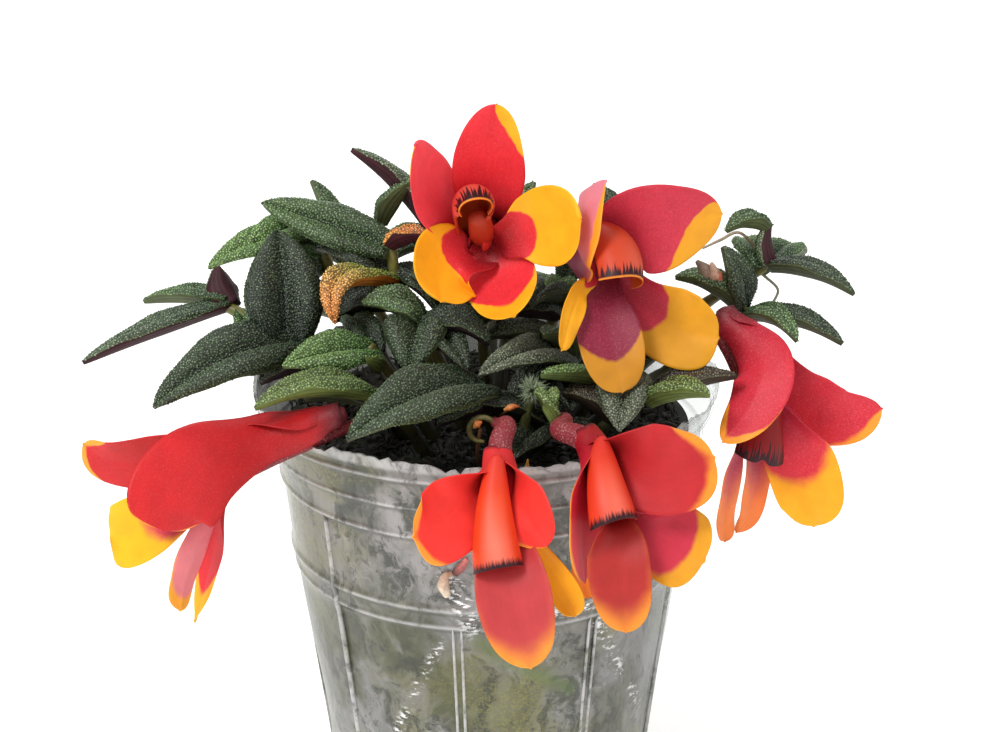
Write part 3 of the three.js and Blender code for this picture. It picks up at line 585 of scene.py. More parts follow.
def add_leaf(patchwork, leaf, rng):
    """Lofts one leaf."""
    base, tip, width, arch, turned, (base_tint, tip_tint, under_tint) = leaf
    base, tip = np.array(base, float), np.array(tip, float)
    chord = unit(tip - base)
    level = unit(np.cross(chord, (0, 0, 1)))
    rise = np.cross(level, chord)
    angle = math.radians(turned)
    rise = rise * math.cos(angle) + np.cross(chord, rise) * math.sin(angle)
    middle = arch if isinstance(arch, tuple) else (base + tip) / 2 + rise * arch
    s = np.sin(np.pi / 2 * np.linspace(0, 1, LEAF_ROWS + 1))
    line = parabola(base, middle, tip, s)
    _, across, upward = axes_along(line, rise)
    share = half_width(s, 0.55, 0.42, 1.4)
    half = width / 2 * share
    edge = half * math.tan(LEAF_FOLD)
    keel = -LEAF_KEEL * (0.35 + 0.65 * share)
    t_up = np.linspace(1, -1, UPPER_COLUMNS + 1)
    t_down = np.linspace(-1, 1, UNDER_COLUMNS + 1)[1:-1]
    pillow = 1.15 * np.sin(np.pi / 2 * np.clip(np.abs(t_up) / 0.66, 0, 1)) ** 0.8
    pillow -= 0.75 * np.clip((np.abs(t_up) - 0.66) / 0.34, 0, 1) ** 2
    phase = rng.uniform(0, 6.28, 3)
    ripple = 0.18 * np.sin(7 * s + phase[0])[:, None] * np.sign(t_up) * t_up**2
    ripple = ripple + 0.12 * np.sin(17 * s[:, None] + 3 * t_up + phase[1]) * t_up**2
    high = edge[:, None] * (pillow + ripple)
    low = keel[:, None] + (0.4 * edge - keel)[:, None] * np.abs(t_down) ** 1.4
    x = np.concatenate([half[:, None] * t_up, half[:, None] * t_down], axis=1)
    z = np.concatenate([high, low], axis=1)
    rings = line[:, None] + across[:, None] * x[..., None] + upward[:, None] * z[..., None]
    shape = rings.shape[:2]
    blend = ease(s, 0.1, 0.9)[:, None, None] * np.ones((*shape, 1))
    tint = (rgb(base_tint) * (1 - blend) + rgb(tip_tint) * blend) * rng.uniform(0.85, 1.15)
    cleft = np.concatenate([np.abs(t_up), np.abs(t_down)]) * np.ones(shape)
    finishes = [0] * UPPER_COLUMNS + [1] * UNDER_COLUMNS
    patchwork.add(rings, finishes, tint=tint, under=rgb(under_tint), cleft=cleft)


def round_rings(line, normal, other, radii, sides):
    """A round ring at each point of a line, from two ways across it."""
    angles = np.linspace(0, 2 * np.pi, sides, endpoint=False)
    offset = normal[:, None] * np.cos(angles)[:, None] + other[:, None] * np.sin(angles)[:, None]
    return line[:, None] + offset * np.asarray(radii)[:, None, None]


def add_tube(patchwork, line, radii, sides=12, finishes=0, **marks):
    """Lofts a round tube along a line of points, with a radius at each of them."""
    along = unit(np.gradient(line, axis=0))
    normal = unit(np.cross(along[0], (0.3, 0.9, 0.2)))
    normals = []
    for direction in along:
        normal = unit(normal - direction * np.dot(normal, direction))
        normals.append(normal)
    normals = np.array(normals)
    patchwork.add(round_rings(line, normals, np.cross(along, normals), radii, sides), finishes, **marks)


def add_stem(patchwork, points, rng):
    """Lofts a jointed cane."""
    shares = np.linspace(0, 1, 50)
    line = through(points, shares)
    length = np.linalg.norm(np.diff(line, axis=0), axis=1).sum()
    joints = max(2, round(length / 6))
    bulge = 0.12 * np.sin(np.pi * joints * shares) ** 2 - 0.10 * np.exp(-((shares * joints % 1) / 0.1) ** 2)
    radii = STEM_RADIUS * (0.9 + bulge) * (1 - 0.2 * shares)
    green, dry = rgb("7A7838"), rgb("40301E")
    dryness = (ease((shares * joints) % 1, 0.55, 1) * rng.uniform(0.4, 1) * (1 - 0.6 * shares))[:, None, None]
    # painted shade: the canes darken towards the medium, where the leaves shade them
    painted_daylight = (0.1 + 0.9 * ease(line[:, 2], 76, 98))[:, None, None]
    tint = (green * (1 - dryness) + dry * dryness) * painted_daylight * np.ones((50, 12, 1))
    add_tube(patchwork, line, radii, 12, 2, tint=tint, under=green, cleft=1.0)


leafy = []
for index, (name, (stem, leaves)) in enumerate(SHOOTS.items()):
    rng = np.random.default_rng(100 + index)
    patchwork = Patchwork()
    for leaf in leaves:
        add_leaf(patchwork, leaf, rng)
    add_stem(patchwork, stem, rng)
    piece = patchwork.make(f"leafy_shoot_{name}", leaf_skins)
    settle(piece, "foliage", f"shoot_{name}")
    leafy.append(piece)
print("leaf faces:", sum(len(piece.data.polygons) for piece in leafy))

# %% [markdown]
# The warts. Points are scattered over the leaves' upper sides at least a third of a millimetre apart,
# a low cone is set on each and shaded smooth, and its size and glint vary. That is what Geometry
# Nodes does best: the tree is built once, its sizes are named inputs, and each shoot runs it with its
# own seed. The result is turned into a plain mesh, because the export drops instances.

# %% Geometry Nodes: warts
WART_SPACING = 0.35
WART_RADIUS = 0.23
WART_HEIGHT = 0.22


def new_geometry_tree(name, **sizes):
    """A Geometry Nodes tree with its sizes as named inputs: a float for a length, an int for a seed."""
    tree = bpy.data.node_groups.new(name, "GeometryNodeTree")
    tree.interface.new_socket("Geometry", in_out="OUTPUT", socket_type="NodeSocketGeometry")
    tree.interface.new_socket("Geometry", in_out="INPUT", socket_type="NodeSocketGeometry")
    for size, value in sizes.items():
        kind = "NodeSocketInt" if isinstance(value, int) else "NodeSocketFloat"
        tree.interface.new_socket(size, in_out="INPUT", socket_type=kind).default_value = value
    return tree, tree.nodes.new("NodeGroupInput").outputs


def run_tree(tree, source, name, **values):
    """A new plain mesh object: what the tree makes of the source's mesh."""
    modifier = source.modifiers.new(tree.name, "NODES")
    modifier.node_group = tree
    for item in tree.interface.items_tree:
        if item.in_out == "INPUT" and item.name in values:
            modifier[item.identifier] = values[item.name]
    evaluated = source.evaluated_get(bpy.context.evaluated_depsgraph_get())
    mesh = bpy.data.meshes.new_from_object(evaluated)
    source.modifiers.remove(modifier)
    mesh.name = name
    piece = bpy.data.objects.new(name, mesh)
    bpy.context.scene.collection.objects.link(piece)
    return piece


def strew(tree, given, faces, density, shape, turns, sizes, material):
    """Puts copies of a shape on random points of some faces, each with a mark of its own, and ends the
    tree. Turns and sizes are the least and the most; with no turns a copy stands square to its face."""
    seed = given["Seed"]

    def between(low, high):
        return add_node(tree, "FunctionNodeRandomValue", {"Min": low, "Max": high, "Seed": seed},
                        data_type="FLOAT_VECTOR").outputs[0]

    points = add_node(tree, "GeometryNodeDistributePointsOnFaces", {
        "Mesh": given["Geometry"], "Selection": faces, "Distance Min": given["Spacing"], "Density Max": density,
        "Seed": seed}, distribute_method="POISSON")
    copies = add_node(tree, "GeometryNodeInstanceOnPoints", {
        "Points": points.outputs["Points"], "Instance": shape, "Scale": between(*sizes),
        "Rotation": between(*turns) if turns else points.outputs["Rotation"]})
    chance = add_node(tree, "FunctionNodeRandomValue", {"Seed": seed}, data_type="FLOAT")
    marked = add_node(tree, "GeometryNodeStoreNamedAttribute", {"Geometry": copies.outputs[0], "Name": "spark",
                                                                "Value": chance.outputs[1]}, domain="INSTANCE")
    real = add_node(tree, "GeometryNodeRealizeInstances", {"Geometry": marked.outputs[0]})
    finished = add_node(tree, "GeometryNodeSetMaterial", {"Geometry": real.outputs[0], "Material": material})
    add_node(tree, "NodeGroupOutput", {"Geometry": finished.outputs[0]})
    return tree


def wart_tree():
    """Low cones on the faces whose material is the first one."""
    tree, given = new_geometry_tree("warts", Spacing=WART_SPACING * MM, Radius=WART_RADIUS * MM,
                                    Height=WART_HEIGHT * MM, Seed=1)
    finish = add_node(tree, "GeometryNodeInputMaterialIndex")
    upper = add_node(tree, "FunctionNodeCompare", {2: finish.outputs[0], 3: 0}, data_type="INT",
                     operation="EQUAL")
    cone = add_node(tree, "GeometryNodeMeshCone", {"Vertices": 6, "Radius Top": 0.0, "Radius Bottom": 1.0,
                                                   "Depth": 1.0}, fill_type="NONE")
    height = split(tree, add_node(tree, "GeometryNodeInputPosition").outputs[0])["Z"]
    marked = add_node(tree, "GeometryNodeStoreNamedAttribute", {"Geometry": cone.outputs["Mesh"], "Name": "tip",
                                                                "Value": height})
    sizes = add_node(tree, "ShaderNodeCombineXYZ", {0: given["Radius"], 1: given["Radius"], 2: given["Height"]})
    marked = add_node(tree, "GeometryNodeTransform", {"Geometry": marked.outputs[0], "Scale": sizes.outputs[0]})
    smooth = add_node(tree, "GeometryNodeSetShadeSmooth", {"Geometry": marked.outputs[0]}).outputs[0]
    return strew(tree, given, upper.outputs[0], 9e6, smooth, None, ((0.7, 0.7, 0.6), (1.15, 1.15, 1.25)), warts)


warts_tree = wart_tree()
wart_faces = 0
for index, piece in enumerate(leafy):
    scatter = run_tree(warts_tree, piece, piece.name.replace("leafy_shoot", "leaf_warts"), Seed=11 + index)
    settle(scatter, "foliage")
    wart_faces += len(scatter.data.polygons)
print("wart faces:", wart_faces)

# %% [markdown]
# The flowers. Each hangs upside down, as this species' do: the two lateral sepals stand on top and
# run back into the long nectar spur, the dorsal sepal hangs below, a petal stands at each side, and
# the hooded lip sits in the throat. Sepals and petals are waxy, coral red with golden margins, and
# how wide the gold is differs from one to the next. A blade's paint gives its palette, the gold's
# width on its two edges and at its tip, where the gold starts, and how soft its border is.

# %% The blooms' places and paints
PALETTES = {
    "scarlet": ("8C0C18", "E22E38", "FFAE1E"),
    "ruby": ("9C1428", "CE2639", "FC9C2C"),
    # glow is a lighter scarlet: painted light for blades that sit in shade
    "glow": ("B81424", "F44854", "FFB020"),
    "sun": ("A01838", "D82C3C", "FAA61C"),
    "coral": ("D02A2C", "F0362E", "FA9A34"),
    "brick": ("9C161A", "B82429", "F0902A"),
    "clay": ("94161A", "AC2C28", "EC8E2A"),
    "rust": ("C84020", "DC5C28", "F0842C"),
    "vermilion": ("A81016", "C82024", "FCA030"),
    "crimson": ("9C0C1C", "D42236", "F49A30"),
    "wine": ("6C0C1A", "88203A", "CC8A22"),
    "magenta": ("8A1428", "C63044", "E29C1E"),
    "mauve": ("A84468", "DC8090", "FA9C2A"),
    "rose": ("A02028", "BC3C3E", "F2942E"),
    "pink": ("B83048", "E88288", "FAA634"),
    "yellow": ("A02038", "C83848", "F8B618"),
    "peach": ("94243C", "B03850", "E87C3C"),
}

# Points in mm, as in the CAD source. A blade is its root, middle and tip, its width, where its inner
# side faces, its outline, and its paint: palette, gold along its first edge, along its second, at its
# tip, where it starts, and softness. A lip ends with its curl, how wide it starts and how far its
# mouth narrows.
BLOOMS = {
    "top": {
        "spur": [(0, 7, 107), (0, -3, 110.5), (0.5, -13, 109)],
        "ovary": [(0.5, -11, 106), (-1, -4, 102), (-4, 3, 97), (-6, 7, 95)],
        "column": [(-0.3, -9, 109.7), (-0.4, -15, 112.9), (-1, -17.5, 116.1)],
        "lip": ((0.1, -9, 109.5), (-1.5, -15, 119.6), (-0.9, -21.5, 119.8), 16.6, (0, 0.1, -1), 2.2, 0.6, 0.26),
        "left_sepal": ((-1, -8, 111), (-8.3, -14, 118), (-10.9, -24, 129.5), 11.8, (0.7, -0.65, 0.2),
                       "sepal", ("glow", 0.12, 0.0, 0.0, 0.45, 0.02)),
        "right_sepal": ((1.5, -8, 112), (1.1, -13, 122.3), (2.5, -19, 134.9), 12.7, (-0.1, -0.9, -0.35),
                        "sepal", ("scarlet", 0.0, 1.35, 0.0, 0.5, 0.015)),
        "left_petal": ((-0.5, -13, 107), (-6.4, -17, 106.9), (-7.1, -24, 102.8), 14.8, (0.65, -0.6, 0.5),
                       "petal", ("scarlet", 0.0, 0.0, 0.54, 0.5, 0.015)),
        "right_petal": ((2, -12, 110), (10.4, -18, 113.7), (15.9, -26, 117), 13.9, (-0.1, -0.95, 0.25),
                        "petal", ("scarlet", 0.25, 0.1, 0.6, 0.3, 0.015)),
        "dorsal_sepal": ((1, -12, 108), (3.1, -16, 103.6), (5, -27, 101), 13, (-0.1, -0.95, 0.25),
                         "broad", ("scarlet", 0.55, 0.12, 0.17, 0.1, 0.02)),
    },
    "upper_right": {
        "spur": [(13, 5, 104), (16.5, -5, 107), (20.5, -13.5, 105.5)],
        "ovary": [(19, -11, 104), (18.5, -6, 100), (17, -6, 94), (16, -8, 89)],
        "lip": ((20.8, -15, 113.2), (24.3, -21, 112.2), (25.4, -26, 106.6), 16.2, (-0.65, 0.3, -0.65),
                1.65, 0.6, 0.12),
        "left_sepal": ((16.2, -14, 107), (16.2, -19.5, 114.2), (20.4, -22, 122.6), 14.5, (0.9, 0.28, -0.3),
                       "pointed", ("mauve", 0.4, 0.0, 0.0, -1.6, 0.02)),
        "right_sepal": ((21, -11, 110), (28.2, -15, 112.6), (40.4, -14, 114.5), 16.4, (-0.1, -1, -0.1),
                        "sepal", ("magenta", 0.0, 2.2, 0.0, 0.4, 0.015)),
        "left_petal": ((18, -13, 104), (15.4, -20, 100.9), (13, -26, 94.6), 4.8, (0.4, -0.9, 0),
                       "clawed", ("glow", 0.5, 0.5, 0.78, 0.1, 0.03)),
        "right_petal": ((22.5, -13, 104), (31.1, -16, 96.1), (39.8, -19, 94), 13.6, (-0.35, -0.88, 0.3),
                        "petal", ("magenta", 0.0, 0.2, 0.52, 0.3, 0.02)),
        "dorsal_sepal": ((19.5, -13, 102.5), (21.1, -20, 95.4), (23.2, -25, 86.6), 11.2, (0, -0.85, 0.5),
                         "blunt", ("wine", 0.5, 0.3, 0.26, 0.35, 0.02)),
    },
    "left": {
        "spur": [(-23, -32, 86), (-33.5, -33, 82), (-45, -34.5, 74.5)],
        "ovary": [(-42, -32.5, 75), (-35, -31, 77.8), (-23, -28, 82), (-18, -23.3, 84)],
        "lip": ((-46, -35, 78.7), (-53.5, -37, 76), (-56.9, -40, 70.7), 12, (0.4, 0, -0.9), 1.5, 0.4, 0.1),
        "left_sepal": ((-37, -36, 84), (-47.5, -46, 79.7), (-51.6, -50, 73.1), 17, (-0.5, 0.8, -0.3),
                       "blunt", ("vermilion", 0.2, 0.2, 0.0, 0.5, 0.02)),
        "right_sepal": ((-38, -32, 84), (-58, -30, 76.9), (-67.8, -28, 79.3), 11.4, (-0.25, -0.9, -0.3),
                        "sepal", ("vermilion", 0.7, 0.0, 0.04, 0.55, 0.02)),
        "left_petal": ((-43.6, -36.8, 74.2), (-48.8, -43, 63.7), (-50.3, -47, 57.4), 7, (-0.8, 0.5, -0.1),
                       "petal", ("pink", 0.25, 0.0, 0.16, -0.4, 0.05)),
        "right_petal": ((-44, -32.3, 74.5), (-58.2, -30, 65), (-64.4, -28, 61.9), 11.6, (-0.3, -0.9, 0.2),
                        "petal", ("yellow", 0.3, 0.0, 0.5, 0.0, 0.06)),
        "dorsal_sepal": ((-42.8, -34.5, 73.6), (-45.9, -36, 62.2), (-49.2, -39, 51.4), 8, (-0.8, -0.5, 0.2),
                         "pointed", ("scarlet", 0.3, 0.0, 0.2, 0.3, 0.03)),
    },
    "front_left": {
        "spur": [(2, -43.5, 84.3), (2.4, -47, 80.3), (2.5, -50.5, 74.5)],
        "ovary": [(2.4, -45, 80.9), (2.6, -43.5, 85.3), (3.5, -41, 86.7), (2.5, -33, 84), (0.8, -19, 79.5)],
        "lip": ((2, -49, 85.1), (1.4, -55.5, 78.1), (2.3, -60.5, 70.7), 11.2, (0, 0.6, -0.8), 1.4, 0.12, 0),
        "left_sepal": ((0.3, -46, 82.3), (-5.7, -54.5, 76.9), (-11.1, -60, 75.9), 12.8, (0.35, -0.85, 0.35),
                       "blunt", ("coral", 0.0, 0.0, 0.05, 0.35, 0.04)),
        "right_sepal": ((3.9, -46, 81.6), (6.3, -53, 77.3), (9.7, -56, 72.4), 10.6, (-0.45, -0.85, 0.2),
                        "sepal", ("coral", 0.0, 0.3, 0.0, 0.1, 0.05)),
        "left_petal": ((1, -50, 75.5), (2.3, -50.5, 68.2), (3.5, -51, 62), 7, (0.1, -0.9, 0.3),
                       "petal", ("coral", 0.1, 0.1, 0.3, 0.2, 0.05)),
        "right_petal": ((4, -49, 75), (11.7, -52, 64.5), (14.2, -55, 59.6), 5.2, (-0.25, -0.95, 0.1),
                        "petal", ("glow", 0.5, 0.5, 0.95, 0.0, 0.06)),
        "dorsal_sepal": ((2.5, -49.5, 75), (4.6, -59, 64.4), (7, -60, 52.9), 12.4, (-0.1, -0.9, 0.4),
                         "sepal", ("rose", 0.3, 0.1, 0.1, 0.45, 0.13)),
    },
    "front_right": {
        "spur": [(16, -40, 85.7), (18.3, -44, 82.4), (20, -48.5, 76)],
        "ovary": [(17.1, -42, 84.2), (15.2, -40.5, 84.8), (12.3, -38, 84.9), (13.5, -31, 84), (12, -20, 80.5)],
        "lip": ((18.9, -46.5, 87), (19.6, -53, 83.3), (21.3, -58, 77.4), 11.6, (-0.2, 0.6, -0.75),
                1.45, 0.12, 0),
        "left_sepal": ((16.7, -43.5, 83.2), (15.4, -51, 76.7), (15.8, -54.5, 65.3), 12.5, (0.85, -0.45, 0.1),
                       "sepal", ("crimson", 0.0, 0.25, 0.0, -0.6, 0.04)),
        "right_sepal": ((19.8, -43, 85.1), (27.1, -50, 83), (36.2, -52, 85.5), 15, (-0.2, -0.9, 0.2),
                        "blunt", ("brick", 0.0, 0.0, 0.05, 0.3, 0.05)),
        "left_petal": ((18.5, -48, 76.5), (15.9, -48.5, 67.1), (16.5, -49.5, 60.1), 4.2, (0.2, -0.95, 0),
                       "petal", ("rust", 0.3, 0.3, 0.9, 0.0, 0.06)),
        "right_petal": ((21, -48, 77), (29.3, -50, 70.7), (35, -52, 67.6), 13.4, (-0.1, -0.9, 0.35),
                        "petal", ("magenta", 0.25, 0.6, 0.22, 0.0, 0.04)),
        "dorsal_sepal": ((20, -49, 75.5), (21.1, -56, 68.1), (22.3, -57.5, 57.9), 10.2, (0, -0.9, 0.4),
                         "broad", ("clay", 0.2, 0.05, 0.1, 0.4, 0.14)),
    },
    "right": {
        "spur": [(41.5, -6.5, 95), (45, -10.5, 89.5), (48.3, -14, 80)],
        "ovary": [(46, -12, 81), (43.5, -7.5, 86), (41.5, -4, 89), (42, -0.7, 88.7)],
        "lip": ((48.3, -16, 84.4), (48.5, -20.5, 77.7), (47.6, -22, 71.8), 12.4, (-0.2, 0.6, -0.7),
                1.4, 0.5, 0),
        "left_sepal": ((44, -10, 92), (47.5, -19, 86.8), (40.7, -23, 76.5), 11.4, (0.5, 0.75, -0.4),
                       "sepal", ("ruby", 0.0, 0.3, 0.03, 0.2, 0.02)),
        "right_sepal": ((47, -9, 91), (57.6, -9, 77.8), (69.8, -11, 77.7), 14.6, (-0.2, -0.95, -0.25),
                        "sepal", ("ruby", 0.0, 1.0, 0.0, 0.5, 0.04)),
        "left_petal": ((46.5, -14.5, 81), (42.3, -18, 65.5), (41.8, -20, 56.6), 6, (0.7, -0.6, 0.2),
                       "petal", ("peach", 0.1, 0.3, 0.45, 0.0, 0.2)),
        "right_petal": ((49.5, -13, 81), (56, -15, 67.1), (57.6, -18, 58.4), 12.6, (-0.1, -0.9, 0.35),
                        "broad", ("sun", 0.5, 0.12, 0.44, 0.0, 0.06)),
        "dorsal_sepal": ((47.5, -13, 81), (47.4, -13.5, 63.5), (44.3, -16, 56.5), 7, (0.6, -0.75, 0),
                         "pointed", ("peach", 0.1, 0.1, 0.5, 0.1, 0.2)),
    },
}
print("blooms:", list(BLOOMS))

# %% [markdown]
# Flower materials. A waxy petal is a layer of clear lens-shaped cells over coloured ones: it glitters
# in fine grains, shows faint veins lengthwise, and lets some light through. The glitter is painted
# here as pale specks, and the dark red of a blade's foot and of the throat is partly the flower's own
# colour and partly painted shade. The gold border is worked out in the shader from where a point lies
# along and across its blade, so it stays sharp at any distance, with a little noise because no petal
# is ruled with a compass.

# %% Flower materials
CELL = 1 / (0.28 * MM)  # the real cells are finer; these are as small as the render can show


def petal_skin(tree, place):
    """Waxy sepals and petals with painted margins, painted glitter, and a dark foot and throat that are partly
    painted shade.
    """
    along, across = mark(tree, "along"), mark(tree, "across")
    first_gold, second_gold, end_gold = split(tree, mark(tree, "gold", "Vector"))
    start, soft, painted_sparkle = split(tree, mark(tree, "border", "Vector"))
    taper = maths(tree, "POWER", share(tree, along, start, 1.02), 1.7)
    sides = []
    for gold, sign in ((first_gold, -1.0), (second_gold, 1.0)):
        edge = maths(tree, "MULTIPLY_ADD", maths(tree, "ADD", gold, 0.25), taper, -1.25)
        sides.append(maths(tree, "MULTIPLY_ADD", across, sign, edge))
    side = product(tree, maths(tree, "MAXIMUM", *sides), 0.3)
    end = maths(tree, "ADD", maths(tree, "ADD", along, -1.0), end_gold)
    ragged = share(tree, noise(tree, place, 420.0, 4.0), 0.0, 1.0, -0.035, 0.035)
    reach = maths(tree, "ADD", maths(tree, "MAXIMUM", side, end), ragged)
    mask = add_node(tree, "ShaderNodeMapRange", {"Value": reach, "From Min": product(tree, soft, -1.0),
                                                 "From Max": soft}, interpolation_type="SMOOTHSTEP").outputs[0]
    # the dark red of the foot and throat: partly the flower's own colour, partly painted shade
    grown = share(tree, along, -0.1, 0.42)
    throat_red_and_shade = paint(tree, mark(tree, "deep", "Color"), grown, mark(tree, "body", "Color"))
    grid = {"X": product(tree, across, 6.0), "Y": product(tree, along, 1.4)}
    streaks = add_node(tree, "ShaderNodeCombineXYZ", grid).outputs[0]
    veins = share(tree, noise(tree, streaks, 2.0, 3.0), 0.35, 0.65, 0.975, 1.02)
    painted = paint(tree, dim(tree, throat_red_and_shade, veins), mask, mark(tree, "rim", "Color"))
    blotches = share(tree, noise(tree, place, 300.0, 3.0), 0.35, 0.65, 0.94, 1.05)
    # painted glints: pale pink specks where the waxy cells would catch the light
    painted_glitter = share(tree, noise(tree, place, 3600.0), 0.5, 0.75, 0.0, 0.26)
    only_red = product(tree, maths(tree, "SUBTRACT", 1.0, mask), painted_sparkle)
    final = paint(tree, dim(tree, painted, blotches), product(tree, painted_glitter, only_red), colour("F79A9C"))
    return skin(tree, final, 0.5, relief(tree, cells(tree, place, CELL), 0.3, 0.05), Specular_IOR_Level=0.28,
                Subsurface_Weight=0.12, Subsurface_Radius=(1.0, 0.35, 0.2), Subsurface_Scale=1.2 * MM)


def lip_skin(tree, _):
    """The lip: orange-red, with dark teeth that radiate to its front edge, a thin orange hem, and a painted
    highlight along its middle.
    """
    along, across = mark(tree, "along"), mark(tree, "across")
    reach, trim, painted_blush = split(tree, mark(tree, "teeth", "Vector"))
    spread = add_node(tree, "ShaderNodeCombineXYZ", {"X": across}).outputs[0]
    past = maths(tree, "SUBTRACT", along, share(tree, noise(tree, spread, 13.0, 1.0), 0.38, 0.62, 0.96, reach))
    # painted highlight: a pale blush along the middle, for the light that the lip catches and lets through
    middle = share(tree, maths(tree, "ABSOLUTE", across), 0.05, 0.6, 0.75, 0.0)
    glow = product(tree, product(tree, middle, share(tree, along, 0.3, 0.8)), painted_blush)
    tone = mark(tree, "body", "Color")
    for amount, above in ((glow, "FF8A74"), (share(tree, along, 0.0, 0.4, 0.6, 0.0), "C8202A"),
                          (share(tree, past, -0.03, 0.03), "2C0812"),
                          (share(tree, along, 0.975, 0.99, 0.0, trim), "EE8A2C")):
        tone = paint(tree, tone, amount, colour(above))
    tone = paint(tree, colour("A8380E"), mark(tree, "side"), tone)
    return skin(tree, tone, 0.5, Specular_IOR_Level=0.3, Subsurface_Weight=0.15,
                Subsurface_Radius=(1.0, 0.35, 0.15), Subsurface_Scale=1.0 * MM)


def ovary_skin(tree, place):
    """The ovary's rough skin: dusky red-brown with whitish grains."""
    grains = cells(tree, place, 1 / (0.45 * MM))
    dots = product(tree, share(tree, grains, 0.18, 0.34, 0.75, 0.0), noise(tree, place, 900.0))
    tone = paint(tree, colour("86242E"), dots, colour("D8B8A8"))
    return skin(tree, tone, 0.5, relief(tree, grains, 0.8, 0.2, invert=True))


petal, hood, knob = (make_material(name, look) for name, look in
                     (("waxy_petal", petal_skin), ("lip_cuticle", lip_skin), ("warty_ovary", ovary_skin)))
print("flower materials:", petal.name, hood.name, knob.name)

# %% [markdown]
# Flower shapes. A real lateral sepal doesn't start at the throat: its foot wraps round the spur like
# half a pipe and opens out into the blade. So each blade's line starts on the spur, and its curl
# loosens from the spur's own radius to the gentle curl of the blade, while its inner side turns from
# the spur's axis to where the blade faces. The CAD source's plain blades keep the same tips.

# %% Blade shapes
SPUR_RADII = (1.9, 3.1, 3.6)
OVARY_RADII = ((1.4, 1.1, 0.9, 0.8), (2.2, 1.35, 0.95, 0.7))  # the second is for the front blooms
OUTLINES = {"sepal": (0.5, 0.5, 1.9), "blunt": (0.5, 0.55, 2.3), "pointed": (0.5, 0.42, 1.45),
            "petal": (0.34, 0.6, 2.5), "clawed": (0.14, 0.6, 2.4), "broad": (0.8, 0.5, 2.2)}
BLADE_CURL = 0.35
BLADE_THICKNESS = (0.5, 0.4, 0.16)  # in mm: on the middle line, at 0.7 of the way out, and at the edge
EDGE_WAVE = 0.35
EDGE_FRILL = 0.16
MIDLINE_GROOVE = 0.12
FOOT_MAROON_AND_SHADE = rgb("5E2026")  # the maroon of a flower's foot, darkened further as painted shade towards the throat
BLADE_ROWS = 46
BLADE_COLUMNS = 26


def spur_radius(share):
    """The spur's radius at a share of its length."""
    return np.interp(share, (0, 0.5, 1), SPUR_RADII)


def blade_marks(shape, across, along, paint, painted_sparkle, dusk_end):
    """What the petal material reads: place on the blade, palette, gold and its border."""
    palette, first, second, end, start, soft = paint
    deep, body, rim = (rgb(tone) for tone in PALETTES[palette])
    across, along = across * np.ones(shape), along * np.ones(shape)
    first, second = (gold if gold > 0 else -0.8 for gold in (first, second))
    tip = end + 0.2 * across**2 if end > 0 else -0.3 + 0 * across
    gold = np.stack([first + 0 * tip, second + 0 * tip, tip], axis=-1)
    # the foot's maroon, partly painted shade, fades out by dusk_end
    fresh = ease(along, -1, dusk_end)[..., None]
    return {"across": across, "along": along, "deep": FOOT_MAROON_AND_SHADE * (1 - fresh) + deep * fresh, "body": body,
            "rim": rim, "gold": gold, "border": (start, soft, painted_sparkle)}


def sheet_rings(centre, across, inside, angle, thick):
    """Rings over a curled sheet's front and back, half its thickness to each side of its middle."""
    normal = inside[:, None] * np.cos(angle)[..., None] - across[:, None] * np.sin(angle)[..., None]
    front = centre + normal * thick[..., None] / 2
    back = (centre - normal * thick[..., None] / 2)[:, ::-1]
    return np.concatenate([front, back], axis=1)


